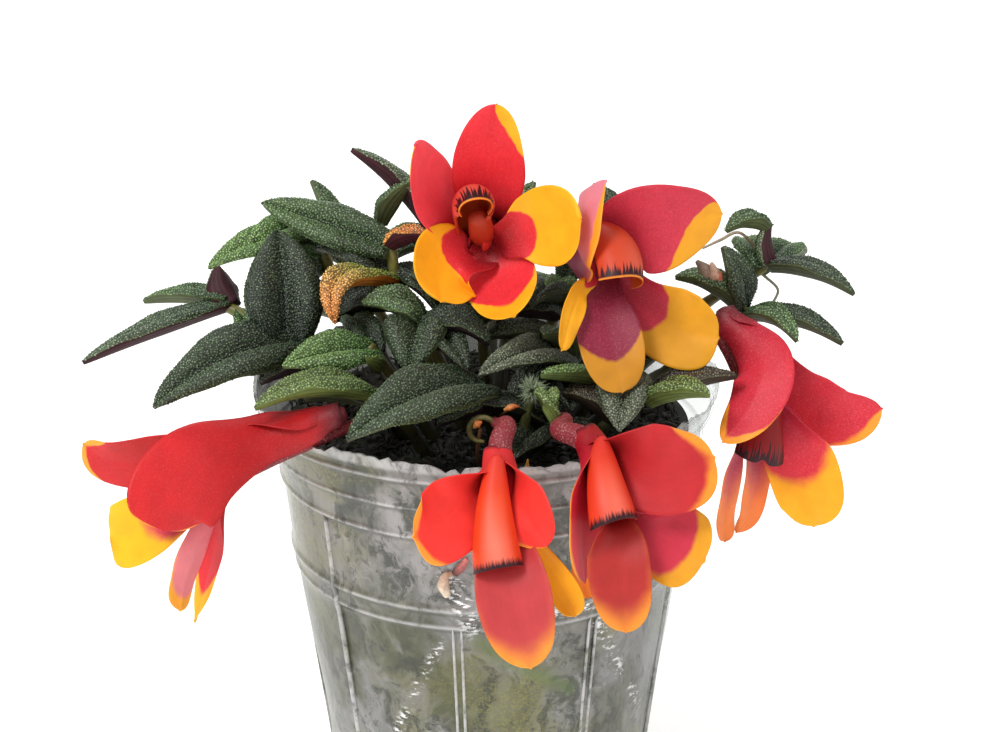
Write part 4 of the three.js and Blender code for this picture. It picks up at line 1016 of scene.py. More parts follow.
def add_blade(patchwork, spur, blade, wraps, early, finish, rng):
    """Lofts a sepal or petal: a sepal's foot wraps the spur, the others rise out of the throat."""
    root, middle, tip, width, faces, outline, paint = blade
    shares = np.linspace(0, 1, 101)
    axis = through(spur, shares)
    root_at = int(np.argmin(np.linalg.norm(axis - np.array(root), axis=1)))
    root_at = max(root_at, 30)
    first = 3 if wraps else 86
    picks = np.linspace(first, root_at if wraps else 100, 3).astype(int)
    spreads = spur_radius(shares[picks]) if wraps else (0.4, 1.8, 3.3)
    tangents = unit(np.gradient(axis, axis=0))
    inward = axis[root_at] - np.array(root)
    inward = unit(inward - tangents[root_at] * np.dot(inward, tangents[root_at]))
    feet, params = [], []
    for k, pick in enumerate(picks):
        direction = unit(inward - tangents[pick] * np.dot(inward, tangents[pick]))
        feet.append(axis[pick] - direction * spreads[k] + tangents[pick] * (0 if wraps else 0.2 * k))
        params.append(-1 + 0.5 * k)
    blade_at = np.array([0.32, 0.5, 0.75, 1.0])
    knots = np.vstack([feet, parabola(root, middle, tip, blade_at)])
    params = np.concatenate([params, blade_at])
    samples = np.linspace(0, 1, 400)
    line = through(knots, samples)
    knot_at = [int(np.argmin(np.linalg.norm(line - knot, axis=1))) for knot in knots]
    param = np.interp(np.arange(400), knot_at, params)
    stations = 1 - (1 - np.linspace(0, 1, BLADE_ROWS + 1)) ** 1.6
    line = through(knots, stations)
    p = np.interp(stations, samples, param)
    early = early if wraps else -0.15
    turning = ease(p, early, 0.45)[:, None]
    facing = unit(unit(inward) * (1 - turning) + unit(faces) * turning)
    along, across, inside = axes_along(line, facing)
    foot_radius = spur_radius(shares[root_at])
    opening = ease(p, early, 0.5)
    curve = (1 / foot_radius) * (1 - opening) + (BLADE_CURL * 2 / width) * opening
    narrow = ease(p, -1, -0.3) * (foot_radius - spur_radius(shares[first])) + spur_radius(shares[first])
    foot_half = narrow * 1.75 if wraps else np.interp(p, (-1, -0.5, 0), (0.8, 2.4, 4.0)) * min(1, width / 11)
    blade_half = width / 2 * half_width(np.clip(p, 0, 1), *OUTLINES[outline])
    half = foot_half + (blade_half - foot_half) * ease(p, early, 0.34)
    half = np.where(p > 0.34, blade_half, half)
    curve = np.where(p < early, 1 / narrow, curve)
    t = np.linspace(-1, 1, BLADE_COLUMNS + 1)
    angle = (half * curve)[:, None] * t
    reach = np.sin(angle) / curve[:, None]
    sag = (1 - np.cos(angle)) / curve[:, None]
    phase = rng.uniform(0, 6.28, 4)
    loose = ease(p, 0.2, 0.7)[:, None]
    wave = EDGE_WAVE * np.sin(5 * p[:, None] + 1.5 * t + phase[0]) * t**2
    wave = wave + EDGE_FRILL * np.sin(13 * p[:, None] * np.sign(t) + phase[1]) * np.abs(t) ** 3
    wave = wave - MIDLINE_GROOVE * np.exp(-((t / 0.16) ** 2))
    sag = sag + wave * loose
    thick = np.interp(np.abs(t), (0, 0.7, 1), BLADE_THICKNESS) * np.ones_like(angle)
    thick = thick * np.interp(p, (-1, 0.2, 1), (1.1, 1.0, 0.6))[:, None]
    centre = line[:, None] + across[:, None] * reach[..., None] + inside[:, None] * sag[..., None]
    point = 0.25 * np.exp(-((t / 0.35) ** 2)) * ease(p, 0.9, 1)[:, None]
    centre = centre + along[:, None] * point[..., None]
    rings = sheet_rings(centre, across, inside, angle, thick)
    t_ring = np.concatenate([t, t[::-1]])
    marks = blade_marks(rings.shape[:2], t_ring, p[:, None], paint, *finish)
    patchwork.add(rings, 0, sheet=True, **marks)


def add_spur(patchwork, spur, finish):
    """Lofts the spur as a cup: out to the throat, over its rim and back inside."""
    shares = np.concatenate([np.linspace(0, 0.97, 26), [0.965, 0.95, 0.92, 0.86]])
    line = through(spur, shares)
    tangent = unit(through(spur, np.clip(shares, 0, 0.99) + 0.01) - through(spur, np.clip(shares, 0, 0.99)))
    radii = spur_radius(shares) * 0.78
    radii[0] *= 0.7
    radii[26:] = np.array([0.9, 0.8, 0.6, 0.3]) * SPUR_RADII[2]
    normal = unit(np.cross(tangent, (1.0, 0.2, 0.1)))
    rings = round_rings(line, normal, np.cross(tangent, normal), radii, 28)
    plain = ("scarlet", 0, 0, 0, 0.5, 0.02)
    marks = blade_marks(rings.shape[:2], 0.0, shares[:, None] * 0.9 - 1, plain, *finish)
    patchwork.add(rings, 0, **marks)


def add_lip(patchwork, lip, body, notch, teeth):
    """Lofts the hooded lip."""
    root, middle, tip, width, faces, curl, start, pinch = lip
    s = np.linspace(0, 1, 41)
    line = parabola(root, middle, tip, s)
    along, across, inside = axes_along(line, unit(faces))
    half = width / 2 * (start + (1 - start) * s**0.6) * (1 - pinch * ease(s, 0.5, 1))
    radius = half[:, None] / curl
    t = np.linspace(-1, 1, 37)
    angle = curl * t * np.ones((41, 1))
    thick = np.interp(s, (0, 0.8, 1), (0.6, 0.5, 0.22))[:, None] * np.ones_like(angle)
    scallop = notch[0] * np.exp(-((t / notch[1]) ** 2)) * ease(s, 0.75, 1)[:, None]
    centre = line[:, None] + across[:, None] * (radius * np.sin(angle))[..., None]
    centre = centre + inside[:, None] * (radius * (1 - np.cos(angle)))[..., None]
    centre = centre + along[:, None] * scallop[..., None]
    rings = sheet_rings(centre, across, inside, angle, thick)
    side = np.concatenate([0 * t, 0 * t + 1]) * np.ones(rings.shape[:2])
    across = np.concatenate([t, t[::-1]]) * np.ones(rings.shape[:2])
    along = s[:, None] * np.ones(rings.shape[:2])
    patchwork.add(rings, 0, sheet=True, across=across, along=along, body=rgb(body), side=side, teeth=teeth)


# %% Build the blooms
# A lip's colour, its notch (depth, spread), and its teeth: where they start, the hem, the painted highlight.
LIPS = {
    "top": ("C84034", (0.3, 0.4), (0.76, 1.0, 0.2)),
    "upper_right": ("C43C18", (-0.6, 0.5), (0.84, 1.0, 0.3)),
    "left": ("8C1820", (0.0, 1.0), (0.8, 0.0, 0.0)),
    "front_left": ("E0431C", (0.0, 1.0), (0.93, 0.0, 0.8)),
    "front_right": ("D8381A", (-0.3, 0.6), (0.91, 0.0, 0.6)),
    "right": ("860A0E", (-1.0, 0.13), (0.66, 0.0, 0.0)),
}
# Where a sepal leaves its spur, how much painted glitter the skin gets, and where the dark foot, partly painted
# shade, ends.
FINISHES = {"top": (-0.7, 0.45, -0.6), "upper_right": (-0.7, 0.45, -0.6), "left": (-0.7, 0.25, -0.5),
            "front_left": (-0.1, 0.05, -0.9), "front_right": (-0.2, 0.05, -0.9), "right": (-0.7, 0.7, -0.1)}
BLADES = {"left_sepal": True, "right_sepal": True, "dorsal_sepal": False, "left_petal": False,
          "right_petal": False}  # whether it wraps the spur
for index, (name, bloom) in enumerate(BLOOMS.items()):
    rng = np.random.default_rng(500 + index)
    patchwork = Patchwork()
    for part, wraps in BLADES.items():
        add_blade(patchwork, bloom["spur"], bloom[part], wraps, FINISHES[name][0], FINISHES[name][1:], rng)
    add_spur(patchwork, bloom["spur"], FINISHES[name][1:])
    flower = patchwork.make(f"flower_{name}", [petal])
    settle(flower, "flower", f"bloom_{name}")
    patchwork = Patchwork()
    shares = np.linspace(0, 1, 40)
    radii = np.interp(shares, (0, 0.4, 0.7, 1), OVARY_RADII[name.startswith("front")])
    add_tube(patchwork, through(bloom["ovary"], shares), radii, 14)
    settle(patchwork.make(f"ovary_{name}", [knob]), "flower")
    patchwork = Patchwork()
    add_lip(patchwork, bloom["lip"], *LIPS[name])
    if "column" in bloom:
        radii = np.interp(range(14), (0, 9, 12, 13), (2.4, 2.1, 1.7, 0.7))
        add_tube(patchwork, through(bloom["column"], np.linspace(0, 1, 14)), radii, across=0.0, along=0.5,
                 body=rgb("A42E18"), side=1.0, teeth=(2.0, 0.0, 0.0))
    settle(patchwork.make(f"hooded_lip_{name}", [hood]), "lip", f"lip_{name}")
print("faces of one flower:", len(flower.data.polygons))

# %% [markdown]
# The pot is the thin clear kind, pressed from soft plastic: rings stiffen its mouth, ribs run down its
# lower wall, and its edge was trimmed by hand. Its profile is the CAD source's, sampled finely enough
# to round the rings, and its trimmed edge gets small burrs and a few nicks. The floor's drain holes
# are cut with a Boolean, which suits a plain round hole better than any clever mesh. The ribs are a
# piece of their own, sunk halfway into the wall, because a Boolean wants one clean closed skin.

# %% Pot shape
POT_HEIGHT = 80
BASE_RADIUS = 29
RIM_RADIUS = 42
WALL_THICKNESS = 0.5
FLOOR_THICKNESS = 1.2
POT_SIDES = 320
RIB_ANGLES = (-128.5, -88.5, -48.5, -8.5, 31.5, 71.5, 111.5, 151.5, 191.5)  # degrees right of the front
LONG_RIB = -48.5  # this one is round, and runs up to the next ring; the others are pairs of fine lines
HOLE_COUNT = 6
HOLE_RADIUS = 3
HOLE_CIRCLE = 19
WALL_PROFILE = [(BASE_RADIUS, 0), (32.9, 30), (35.1, 46.6), (35.7, 47.4), (35.3, 48.2), (35.6, 49.8),
                (36.3, 50.8), (35.9, 52), (37.1, 64), (37.9, 64.8), (37.5, 65.5), (38.6, 70), (39.4, 70.7),
                (39.1, 71.3), (40.5, 75.7), (41.3, 76.4), (40.9, 77), (RIM_RADIUS, POT_HEIGHT)]
RING_HEIGHTS = (47.4, 50.8, 64.8, 70.7, 76.4)

# Marks on the wall run from one point to another, each in degrees right of the front and in mm of
# height, and have a width in mm: white painted glints along creases where the plastic was squeezed,
# and a streak of moss.
CREASE_GLINTS = [((-13.6, 43.8), (-24, 32), 0.6), ((-27, 28), (-34, 20), 0.8), ((33, 46), (45, 33), 0.8),
           ((52, 28), (60, 22), 0.8), ((-10, 57), (-4, 48), 1.6), ((0, 50.5), (33, 49.5), 1.1)]
MOSS_STREAKS = [((-3, 45.3), (4, 41), 0.8), ((4, 41), (13, 38), 0.9), ((13, 38), (26, 33), 1.0)]
# Nicks of the cut edge: degrees right of the front, how many degrees wide, and how deep in mm.
NICKS = ((-9, 1.5, 1.3), (-5.5, 0.9, 1.2), (5, 2.5, 1.2), (12, 5, 0.8), (24, 2, 0.8))
WALL_DENT = 0.22


def outer_radius(z):
    """The pot's outer radius at a height."""
    radii, heights = zip(*WALL_PROFILE)
    return np.interp(z, heights, radii)


def teeth(angle, rng):
    """How far the trimmed edge strays from level round the pot, in mm."""
    wave = np.sin(9 * angle + 1) + 0.7 * np.sin(17 * angle) + 0.5 * np.cos(23 * angle)
    burrs = rng.uniform(-1, 1, len(angle)) * rng.choice([0.3, 0.6, 1.0], len(angle), p=[0.5, 0.3, 0.2])
    right = np.degrees(angle) + 90
    nicks = sum(depth * np.exp(-(((right - at) / wide) ** 2)) for at, wide, depth in NICKS)
    return 0.25 * wave + 0.6 * burrs - nicks


def near_lines(right, z, lines):
    """How near each point of the wall is to a list of lines: 1 on them, 0 away from them."""
    nearest = np.zeros(z.shape)
    for (a, low), (b, high), width in lines:
        scale = math.radians(1) * outer_radius(z)
        way = np.stack([(b - a) * scale, np.full(z.shape, high - low)], axis=-1)
        gap = np.stack([(right - a) * scale, z - low], axis=-1)
        t = np.clip((gap * way).sum(-1) / (way**2).sum(-1), 0, 1)[..., None]
        nearest = np.maximum(nearest, np.exp(-(((gap - way * t) ** 2).sum(-1)) / width**2))
    return nearest


def add_pot_wall(patchwork, rng):
    """Lathes the wall: up its outside, over the trimmed edge, down its inside and across the floor."""
    zones = ((0, 46, 32), (46, 53, 26), (53, 63.5, 8), (63.5, 79.9, 72))  # from, to, rows: fine at the rings
    heights = np.unique(np.concatenate([np.linspace(*zone) for zone in zones]))
    radii = outer_radius(heights)
    soft = np.convolve(np.pad(radii, 1, mode="edge"), (0.2, 0.6, 0.2), "valid")
    inner = slice(-1, 2, -3)  # a third of the rows will do inside
    r = np.concatenate([[0.5, 14, 24], soft, [RIM_RADIUS + 0.1, RIM_RADIUS - 0.45],
                        soft[inner] - WALL_THICKNESS, [24, 14, 0.5]])
    z = np.concatenate([[0, 0, 0], heights, [POT_HEIGHT, POT_HEIGHT], heights[inner], [FLOOR_THICKNESS] * 3])
    angle = np.linspace(0, 2 * np.pi, POT_SIDES, endpoint=False)
    turned = (angle + np.pi) % (2 * np.pi) - np.pi
    edge = ease(z, 76.8, 80)[:, None]
    z = z[:, None] + edge**3 * teeth(turned, rng)
    radius = r[:, None] * np.ones(POT_SIDES)
    curl = 0.35 * np.sin(5 * turned + 0.6) + 0.25 * np.sin(13 * turned) + 0.15 * rng.uniform(-1, 1, POT_SIDES)
    radius = radius + edge**2 * curl * 0.6
    dent = np.sin(4 * turned + 2) * np.sin(z / 9) + 0.6 * np.sin(7 * turned + z / 6)
    body = ease(z, 2, 12) * (1 - ease(z, 44, 49))
    radius = radius - WALL_DENT * (1 + dent) * body * (r[:, None] > 25)
    rings = np.stack([radius * np.cos(angle), radius * np.sin(angle), z], axis=-1)
    ring = sum(np.exp(-(((z - h - 0.1) / 0.28) ** 2)) for h in RING_HEIGHTS)
    # painted shadow with algae: a dark line just under each ring
    gully = sum(np.exp(-(((z - h + 0.75) / 0.3) ** 2)) for h in RING_HEIGHTS)
    shelf = sum(np.exp(-(((z - h + 1.8) / 1.6) ** 2)) for h in RING_HEIGHTS[2:])
    right = np.degrees(turned) + 90
    # milky plastic on the rings and the trimmed edge, with a painted highlight on them
    crest = np.clip(0.75 * ring + 0.65 * ease(z, 77.8, 78.6), 0, 1)
    patchwork.add(rings, 0, crest=crest, gully=gully, shelf=shelf, crease=near_lines(right, z, CREASE_GLINTS),
                  streak=near_lines(right, z, MOSS_STREAKS))


def add_rib(patchwork, degrees):
    """Lofts one rib, half sunk into the wall: a round one, or the two fine edges of a flat one."""
    long = degrees == LONG_RIB
    z = np.linspace(3, 64.4 if long else 47.2, 40)
    for side in (0,) if long else (-1.2, 1.2):
        angle = math.radians(degrees + side) - np.pi / 2
        radius = outer_radius(z) - 0.12
        line = np.stack([radius * np.cos(angle), radius * np.sin(angle), z], axis=-1)
        thick = (0.5 if long else 0.28) * np.minimum(1, (z[-1] - z) / 2 + 0.3)
        # the ribs get the crests' milky white and painted highlight
        add_tube(patchwork, line, thick, 8, 0, crest=0.85, gully=0.0, shelf=0.0, crease=0.0, streak=0.0)


def cut_drain_holes(pot):
    """Cuts the floor's holes."""
    cutters = Patchwork()
    for k in range(HOLE_COUNT):
        angle = 2 * np.pi * (k + 0.5) / HOLE_COUNT
        middle = np.array([HOLE_CIRCLE * np.cos(angle), HOLE_CIRCLE * np.sin(angle), 0])
        add_tube(cutters, middle + np.array([[0, 0, -2], [0, 0, 1], [0, 0, 4]]), [HOLE_RADIUS] * 3, 24)
    cutter = cutters.make("drain_cutter", [])
    cut = pot.modifiers.new("drain_holes", "BOOLEAN")
    cut.operation = "DIFFERENCE"
    cut.object = cutter
    cut.solver = "EXACT"
    evaluated = pot.evaluated_get(bpy.context.evaluated_depsgraph_get())
    mesh = bpy.data.meshes.new_from_object(evaluated)
    pot.modifiers.remove(cut)
    pot.data = mesh
    bpy.data.objects.remove(cutter)


# %% [markdown]
# Clear polypropylene clouds with age. It is see-through where it is clean, milky on its ringed and
# trimmed edges, filmed with grey lime and algae over the moist medium, and it glints where it has
# been creased. Those glints are painted as white strokes, the milky crests get a painted highlight,
# and a painted shadow with algae runs just under each ring. So its material is a mix of two: light
# passes the clean share straight, and the film scatters the rest. The film thins out on the pot's
# right, where the photo shows bare clear wall.

# %% Pot material
def ramp(tree, amount, *stops):
    """A colour from a ramp. Each stop is its place and its colour, and the two ends come first."""
    node = add_node(tree, "ShaderNodeValToRGB", {"Fac": amount})
    for k, (place, hex_text) in enumerate(stops):
        stop = node.color_ramp.elements[k] if k < 2 else node.color_ramp.elements.new(place)
        stop.position, stop.color = place, colour(hex_text)
    return node.outputs["Color"]


def clouded_plastic(tree, place):
    """Thin clear plastic with a film of lime and algae, a painted shadow under each ring, painted highlights on
    its milky crests and painted glints on its creases.
    """
    crest, axes = mark(tree, "crest"), split(tree, place)
    slanted = add_node(tree, "ShaderNodeMapping", {"Vector": place, "Rotation": (0.0, 0.7, 0.0),
                                                   "Scale": (1.0, 1.0, 0.5)}).outputs[0]
    bend = add_node(tree, "ShaderNodeTexNoise", {"Vector": place, "Scale": 120.0, "Detail": 3.0})
    slanted = add_node(tree, "ShaderNodeVectorMath", {0: bend.outputs["Color"], 1: (0.012,) * 3, 2: slanted},
                       operation="MULTIPLY_ADD").outputs[0]
    clouds = noise(tree, slanted, 70.0, 5.0, 0.6)
    tone = ramp(tree, clouds, (0.4, "44483A"), (0.6, "A6A4A2"), (0.49, "888680"))
    chunks = add_node(tree, "ShaderNodeTexVoronoi", {"Vector": slanted, "Scale": 105.0}).outputs["Color"]
    pick = add_node(tree, "ShaderNodeSeparateColor", {0: chunks}).outputs[0]
    edges = add_node(tree, "ShaderNodeTexVoronoi", {"Vector": slanted, "Scale": 105.0},
                     feature="DISTANCE_TO_EDGE")
    outline = share(tree, edges.outputs["Distance"], 0.0, 0.1, 0.78, 1.0)
    tone = dim(tree, tone, product(tree, share(tree, pick, 0.0, 1.0, 0.7, 1.12), outline))
    patches = noise(tree, place, 48.0, 4.0)
    smears = noise(tree, slanted, 190.0, 7.0, 0.75)
    low = share(tree, axes["Z"], 0.044, 0.054, 1.0, 0.0)
    grown = maths(tree, "MULTIPLY_ADD", mark(tree, "shelf"), 0.12, patches)
    specks = share(tree, noise(tree, place, 2200.0, 4.0), 0.48, 0.62)
    strokes = add_node(tree, "ShaderNodeMapping", {"Vector": place, "Scale": (1.0, 1.0, 2.0)}).outputs[0]
    # painted glints: white strokes along the creases, where the plastic would catch the light
    painted_crease_glint = share(tree, noise(tree, strokes, 620.0, 4.0, 0.65), 0.52, 0.58)
    painted_crease_glint = product(tree, mark(tree, "crease"), painted_crease_glint)
    layers = [  # lime, low algae, dark smears, moss specks, painted shadow with algae under the rings, the moss streak, milky crests with painted highlights, and painted glints on the creases
        (share(tree, patches, 0.46, 0.6, 0.0, 0.55), "807E4C"),
        (product(tree, low, share(tree, clouds, 0.45, 0.6, 0.5, 0.0)), "5C5E34"),
        (share(tree, smears, 0.51, 0.59, 0.0, 0.85), "363A30"),
        (product(tree, specks, share(tree, grown, 0.5, 0.62, 0.0, 0.55)), "9C9640"),
        (product(tree, mark(tree, "gully"), share(tree, smears, 0.35, 0.55, 0.9, 0.35)), "464836"),
        (product(tree, mark(tree, "streak"), 0.6), "607E2C"),
        (product(tree, crest, share(tree, smears, 0.42, 0.58, 0.85, 0.2)), "D2D3D4"),
        (painted_crease_glint, "FFFFFF")]
    for amount, above in layers:
        tone = paint(tree, tone, amount, colour(above))
    rough = maths(tree, "MULTIPLY_ADD", painted_crease_glint, 2.0, maths(tree, "MULTIPLY_ADD", smears, 1.5, outline))
    film = skin(tree, tone, 0.28, relief(tree, rough, 0.6, 0.25), Coat_Weight=0.5, Coat_Roughness=0.1)
    clear = add_node(tree, "ShaderNodeBsdfTransparent", {"Color": colour("F4F5F5")}).outputs[0]
    cover = maths(tree, "MULTIPLY_ADD", crest, 0.3, share(tree, axes["X"], 0.024, 0.036, 0.72, 0.1))
    cover = add_node(tree, "ShaderNodeMath", {0: cover, 1: painted_crease_glint}, operation="ADD", use_clamp=True).outputs[0]
    return add_node(tree, "ShaderNodeMixShader", {0: cover, 1: clear, 2: film}).outputs[0]


pot_plastic = make_material("clouded_clear_polypropylene", clouded_plastic)
patchwork = Patchwork()
add_pot_wall(patchwork, np.random.default_rng(7))
pot = patchwork.make("clear_nursery_pot", [pot_plastic])
cut_drain_holes(pot)
settle(pot, "pot", "pot")
patchwork = Patchwork()
for degrees in RIB_ANGLES:
    add_rib(patchwork, degrees)
settle(patchwork.make("moulded_ribs", [pot_plastic]), "pot")
print("pot faces:", len(pot.data.polygons))

# %% [markdown]
# The medium is bark chips and sphagnum moss, wet and dark. Between the stems, in the leaves' shade,
# its top and the chips and moss on it are nearly black, partly their own dark and partly painted
# shade. A lathe with an uneven top carries it, and Geometry Nodes strews chips and moss over that
# top. Against the wall it is seen through the film, so there its colours do the work: brown chips,
# grey-green moss, dark gaps.

# %% Medium shape and materials
MEDIUM_TOP = 72.5
MEDIUM_GAP = 1.3


def bark_and_moss(tree, place):
    """Chips and moss as a pattern: cells of brown and grey, with green moss between them; the top is darkened
    to near black as painted shade.
    """
    chips = add_node(tree, "ShaderNodeTexVoronoi", {"Vector": place, "Scale": 170.0}).outputs["Color"]
    pick = add_node(tree, "ShaderNodeSeparateColor", {0: chips}).outputs[0]
    tone = ramp(tree, pick, (0.1, "2A2A22"), (0.9, "8A8C80"), (0.45, "4E4A38"), (0.7, "6C7048"))
    moss = noise(tree, place, 130.0, 8.0, 0.75)
    tone = paint(tree, tone, share(tree, moss, 0.45, 0.62), colour("4C5A2C"))
    # painted shade: the fill's top, under the leaves, darkens to near black
    tone = dim(tree, tone, share(tree, split(tree, place)["Z"], 0.0695, 0.0715, 1.0, 0.1))
    return skin(tree, tone, 0.8, relief(tree, moss, 1.0, 1.0))


def litter(first, second):
    """Chips or moss strands: a colour between two, set by a number that each copy carries."""

    def look(tree, place):
        tone = paint(tree, colour(first), mark(tree, "spark"), colour(second))
        grain = noise(tree, place, 1400.0, 3.0)
        return skin(tree, dim(tree, tone, share(tree, grain, 0.3, 0.7, 0.5, 1.3)), 0.7)

    return look


def add_medium(patchwork, rng):
    """Lathes the fill, lumpy against the wall and on top."""
    heights = np.linspace(FLOOR_THICKNESS + 0.6, MEDIUM_TOP - 1.2, 60)
    side = outer_radius(heights) - MEDIUM_GAP - 0.5
    inward = np.array([0.6, 2, 5, 9, 13, 17, 21, 25, 29, 33])
    r = np.concatenate([[0.5, 14, side[0] - 1], side, side[-1] - inward])
    z = np.concatenate([[FLOOR_THICKNESS + 0.5] * 3, heights, MEDIUM_TOP - np.array([0.7, 0.3] + [0.2] * 8)])
    angle = np.linspace(0, 2 * np.pi, 160, endpoint=False)
    lumps = np.zeros((len(r), 160))
    for _ in range(40):
        k, m, p, q = rng.integers(3, 26), rng.uniform(0.08, 0.7), rng.uniform(0, 6.28), rng.uniform(0, 6.28)
        lumps += np.sin(k * angle + p + np.where(r > 30, z, 2 * r)[:, None] * m + q) / 40**0.5
    wall = (r > 26)[:, None] & (z < MEDIUM_TOP - 1)[:, None]  # against the pot
    clear_right = 1.6 * np.clip(np.cos(angle), 0, 1) ** 3
    radius = r[:, None] - np.where(wall, 0.5 * (1 + np.clip(lumps, -1, 1.6)) + clear_right, 0)
    top = (z > MEDIUM_TOP - 0.5)[:, None] & (r < 33)[:, None]
    high = z[:, None] + np.where(top, 0.8 * lumps - 0.4, 0)
    rings = np.stack([radius * np.cos(angle), radius * np.sin(angle), high], axis=-1)
    patchwork.add(rings)


def litter_tree(name, shape, material):
    """Strews copies of a mesh over the faces that look up."""
    tree, given = new_geometry_tree(name, Spacing=1.0 * MM, Seed=1)
    height = split(tree, add_node(tree, "GeometryNodeInputNormal").outputs[0])["Z"]
    upward = add_node(tree, "FunctionNodeCompare", {0: height, 1: 0.5}, operation="GREATER_THAN").outputs[0]
    source = add_node(tree, "GeometryNodeObjectInfo", {"Object": shape}).outputs["Geometry"]
    return strew(tree, given, upward, 3e6, source, ((-0.9, -0.9, 0.0), (0.9, 0.9, 6.28)),
                 ((0.5, 0.5, 0.5), (1.3, 1.3, 1.3)), material)


# %% Build the medium
patchwork = Patchwork()
add_medium(patchwork, np.random.default_rng(21))
medium = patchwork.make("bark_and_moss_fill", [make_material("damp_bark_and_moss", bark_and_moss)])
settle(medium, "medium", "medium")
rng = np.random.default_rng(22)
chip_shape = Patchwork()
outline = [(1.0, 0.2), (0.7, 0.9), (-0.3, 1.0), (-1.0, 0.3), (-0.8, -0.7), (0.2, -1.0), (0.9, -0.6)]
chip_rings = np.array([[(1.6 * k * x, 1.0 * k * y, h) for x, y in outline]
                       for k, h in ((0.6, -0.4), (1, -0.1), (0.95, 0.3), (0.55, 0.5))])
chip_shape.add(chip_rings + rng.uniform(-0.12, 0.12, chip_rings.shape))
chip = chip_shape.make("chip_shape", [])
strand_shape = Patchwork()
strand_line = parabola((0, 0, -0.3), (0.4, 0.2, 1.0), (1.6, 0.4, 1.3), np.linspace(0, 1, 5))
add_tube(strand_shape, strand_line, [0.12, 0.2, 0.22, 0.16, 0.04], 4)
strand = strand_shape.make("strand_shape", [])
# the chips and moss on the fill's top are near black: partly their own wet dark, partly painted shade
bark = make_material("wet_bark", litter("100D0A", "2A2019"))
sphagnum = make_material("sphagnum", litter("0A0E08", "262E14"))
chips = run_tree(litter_tree("chips", chip, bark), medium, "bark_chips", Spacing=2.2 * MM, Seed=5)
moss = run_tree(litter_tree("moss", strand, sphagnum), medium, "moss_strands", Spacing=1.25 * MM, Seed=6)
for piece in (chips, moss):
    settle(piece, "medium")
for shape in (chip, strand):
    bpy.data.objects.remove(shape)
print("chips and moss faces:", len(chips.data.polygons), len(moss.data.polygons))

# %% [markdown]
# An old plant keeps its litter: wiry roots in the air, curled leaves, buds that dried, a mealy tuft on
# a dead cane, and a scrap of a spent flower that clings to the pot. They are small, but the eye takes
# them for age and growth. Each is a tube through a few points, and its colour runs along it.

# %% Dried pieces, buds and roots
LITTER = {
    "root_over": ([(50.5, 4.5, 100.2), (49.2, 5, 101.8), (45.5, 5, 105.6), (42.2, 5, 104.2), (39, 4, 103)],
                  (0.35, 0.32, 0.28, 0.3, 0.2), "8A7A50", "B0A08C"),
    "root_hanging": ([(49.5, 4.5, 98.2), (50.8, 5, 97), (52.9, 5, 94.7), (52, 4.4, 92.3), (52.2, 0, 91)],
                     (0.3, 0.26, 0.26, 0.25, 0.2), "7A7A58", "A8A898"),
    "ring_stalk": ([(-1, -24, 72.5), (-1.4, -27, 77), (-0.8, -29.5, 82)], (0.4, 0.35, 0.3), "241C12", "8A5A38"),
    "ring_bud": ([(-1.9, -29.8, 82.2), (-1.3, -29.8, 82.9), (-0.5, -29.8, 83.3)], (0.2, 0.75, 0.2),
                 "E8A050", "D87038"),
    "bud_stalk": ([(1, -18.5, 79), (3, -23.5, 82.3), (4.2, -26, 84.2)], (0.35, 0.3, 0.25), "241C12", "6A4A28"),
    "bud": ([(3.2, -26.2, 84), (4, -26.3, 84.4), (5, -26.3, 84.7), (5.8, -26.3, 84.6)], (0.2, 0.6, 0.5, 0.1),
            "E89A50", "C8602E"),
    "sprout": ([(6.5, -34.5, 71), (6.7, -36.5, 75.5), (7, -38, 79.8)], (0.9, 1.0, 0.12), "5A4A1C", "E8B040"),
    "dead_cane": ([(5.5, -19, 72), (6.5, -22, 79), (8, -24, 86)], (1.1, 1.0, 0.7), "1A1E10", "5A6230"),
    "flower_stalk": ([(45, 0, 92), (43, 0.6, 95), (41, 0.5, 97.5)], (0.5, 0.45, 0.6), "6A5A38", "8A6A50"),
    "spent_sepal": ([(41.2, 0.5, 97), (39.8, 0, 99.5), (37.6, -0.6, 102)], (0.8, 1.5, 0.4), "A88A74", "7A6A5A"),
    "spent_petal": ([(41.2, 0.3, 97), (40.8, -0.6, 99.5), (40.2, -0.8, 101.8)], (0.8, 1.3, 0.3),
                    "B87A60", "C8A890"),
    "spent_lip": ([(41.4, 0, 96.5), (41.6, -0.9, 98.4), (41.8, -1, 100.2)], (0.7, 1.1, 0.3),
                  "A84838", "B86A50"),
}
# Scraps that cling to the pot: degrees right of the front, height, and how far out from the wall.
SCRAPS = [([(-8.6, 58.6, 0.5), (-10.4, 58.4, 0.8), (-11.4, 56.6, 0.8), (-10.6, 54.2, 0.5)],
           (0.3, 0.8, 1.05, 0.6), "A8785C", "ECDCC4"),
          ([(-5, 61.6, 0.5), (-6.4, 60.2, 0.9), (-8.2, 58.8, 0.7)], (0.4, 0.8, 0.7), "E0807A", "2C1610")]
TUFT_PLACE = (8, -24, 86.6)
TUFT_HAIRS = 320


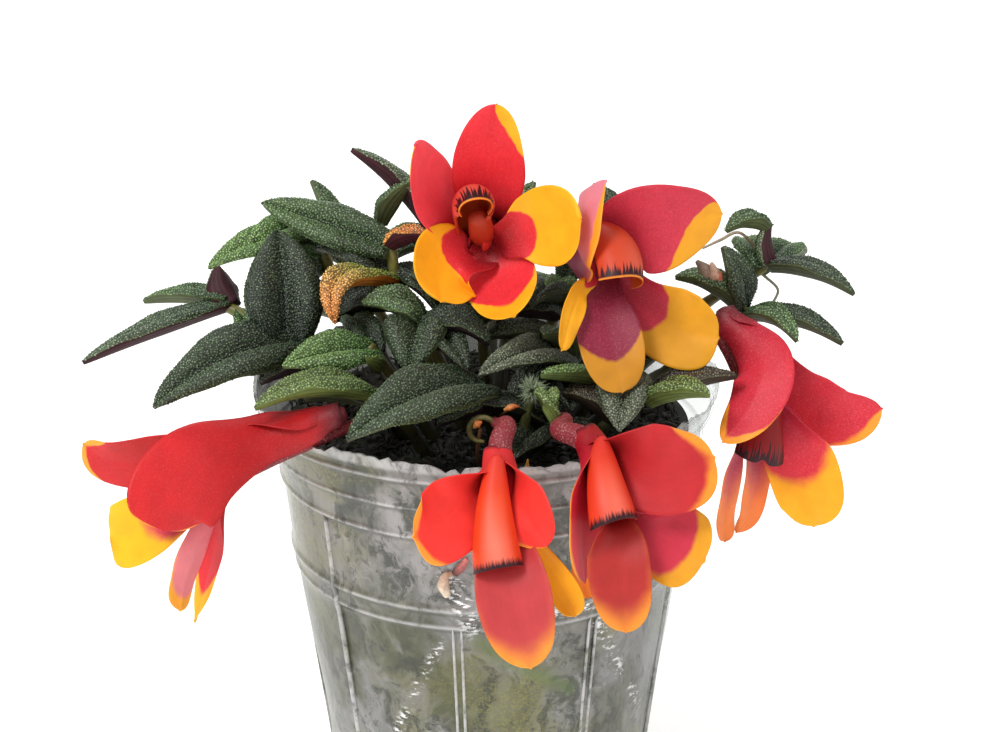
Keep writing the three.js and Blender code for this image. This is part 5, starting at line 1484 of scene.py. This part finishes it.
def add_litter(patchwork, points, radii, first, last, sides=8):
    """Lofts a tube through points, with a radius at each, and a colour that runs from first to last."""
    shares = np.linspace(0, 1, 24)
    blend = shares[:, None, None]
    tint = (rgb(first) * (1 - blend) + rgb(last) * blend) * np.ones((24, sides, 1))
    radii = np.interp(shares, np.linspace(0, 1, len(radii)), radii)
    add_tube(patchwork, through(points, shares), radii, sides, 0, tint=tint)


def on_wall(degrees, z, out):
    """A point at an angle right of the front, at a height, and out from the pot's wall."""
    angle = math.radians(degrees) - math.pi / 2
    radius = outer_radius(z) + out
    return (radius * math.cos(angle), radius * math.sin(angle), z)


dry_tissue = make_material("dry_plant_tissue", fibre(1500.0, 0.65, 0.5, 0.6))
patchwork = Patchwork()
for points, radii, first, last in LITTER.values():
    add_litter(patchwork, points, radii, first, last)
turns = np.radians(np.linspace(-60, 275, 9))
coil = [(-0.4 + 2.3 * math.cos(a), -29.6 + 0.1 * k, 81.6 + 2.3 * math.sin(a)) for k, a in enumerate(turns)]
add_litter(patchwork, coil, (0.3, 0.45, 0.5, 0.5, 0.3), "3E3A1C", "8A8448")
for spots, radii, first, last in SCRAPS:
    add_litter(patchwork, [on_wall(*spot) for spot in spots], radii, first, last)
settle(patchwork.make("roots_buds_and_scraps", [dry_tissue]), "foliage")
rng = np.random.default_rng(31)
patchwork = Patchwork()
for _ in range(TUFT_HAIRS):
    way = unit(rng.normal(size=3) * (1, 1, 0.9) + (0, -0.2, 0.15))
    start = np.array(TUFT_PLACE) + way * (0.4, 0.4, 0.5)
    tip = start + way * rng.uniform(1.0, 2.6) + rng.normal(size=3) * 0.3
    tint = rgb("A8B894") * rng.uniform(0.5, 1.1)
    hair = np.array([start, (start + tip) / 2 + rng.normal(size=3) * 0.15, tip])
    add_tube(patchwork, hair, [0.12, 0.09, 0.03], 3, 0, tint=tint)
settle(patchwork.make("mealy_tuft", [dry_tissue]), "foliage")
print("litter pieces:", len(LITTER) + 3, "hairs:", TUFT_HAIRS)
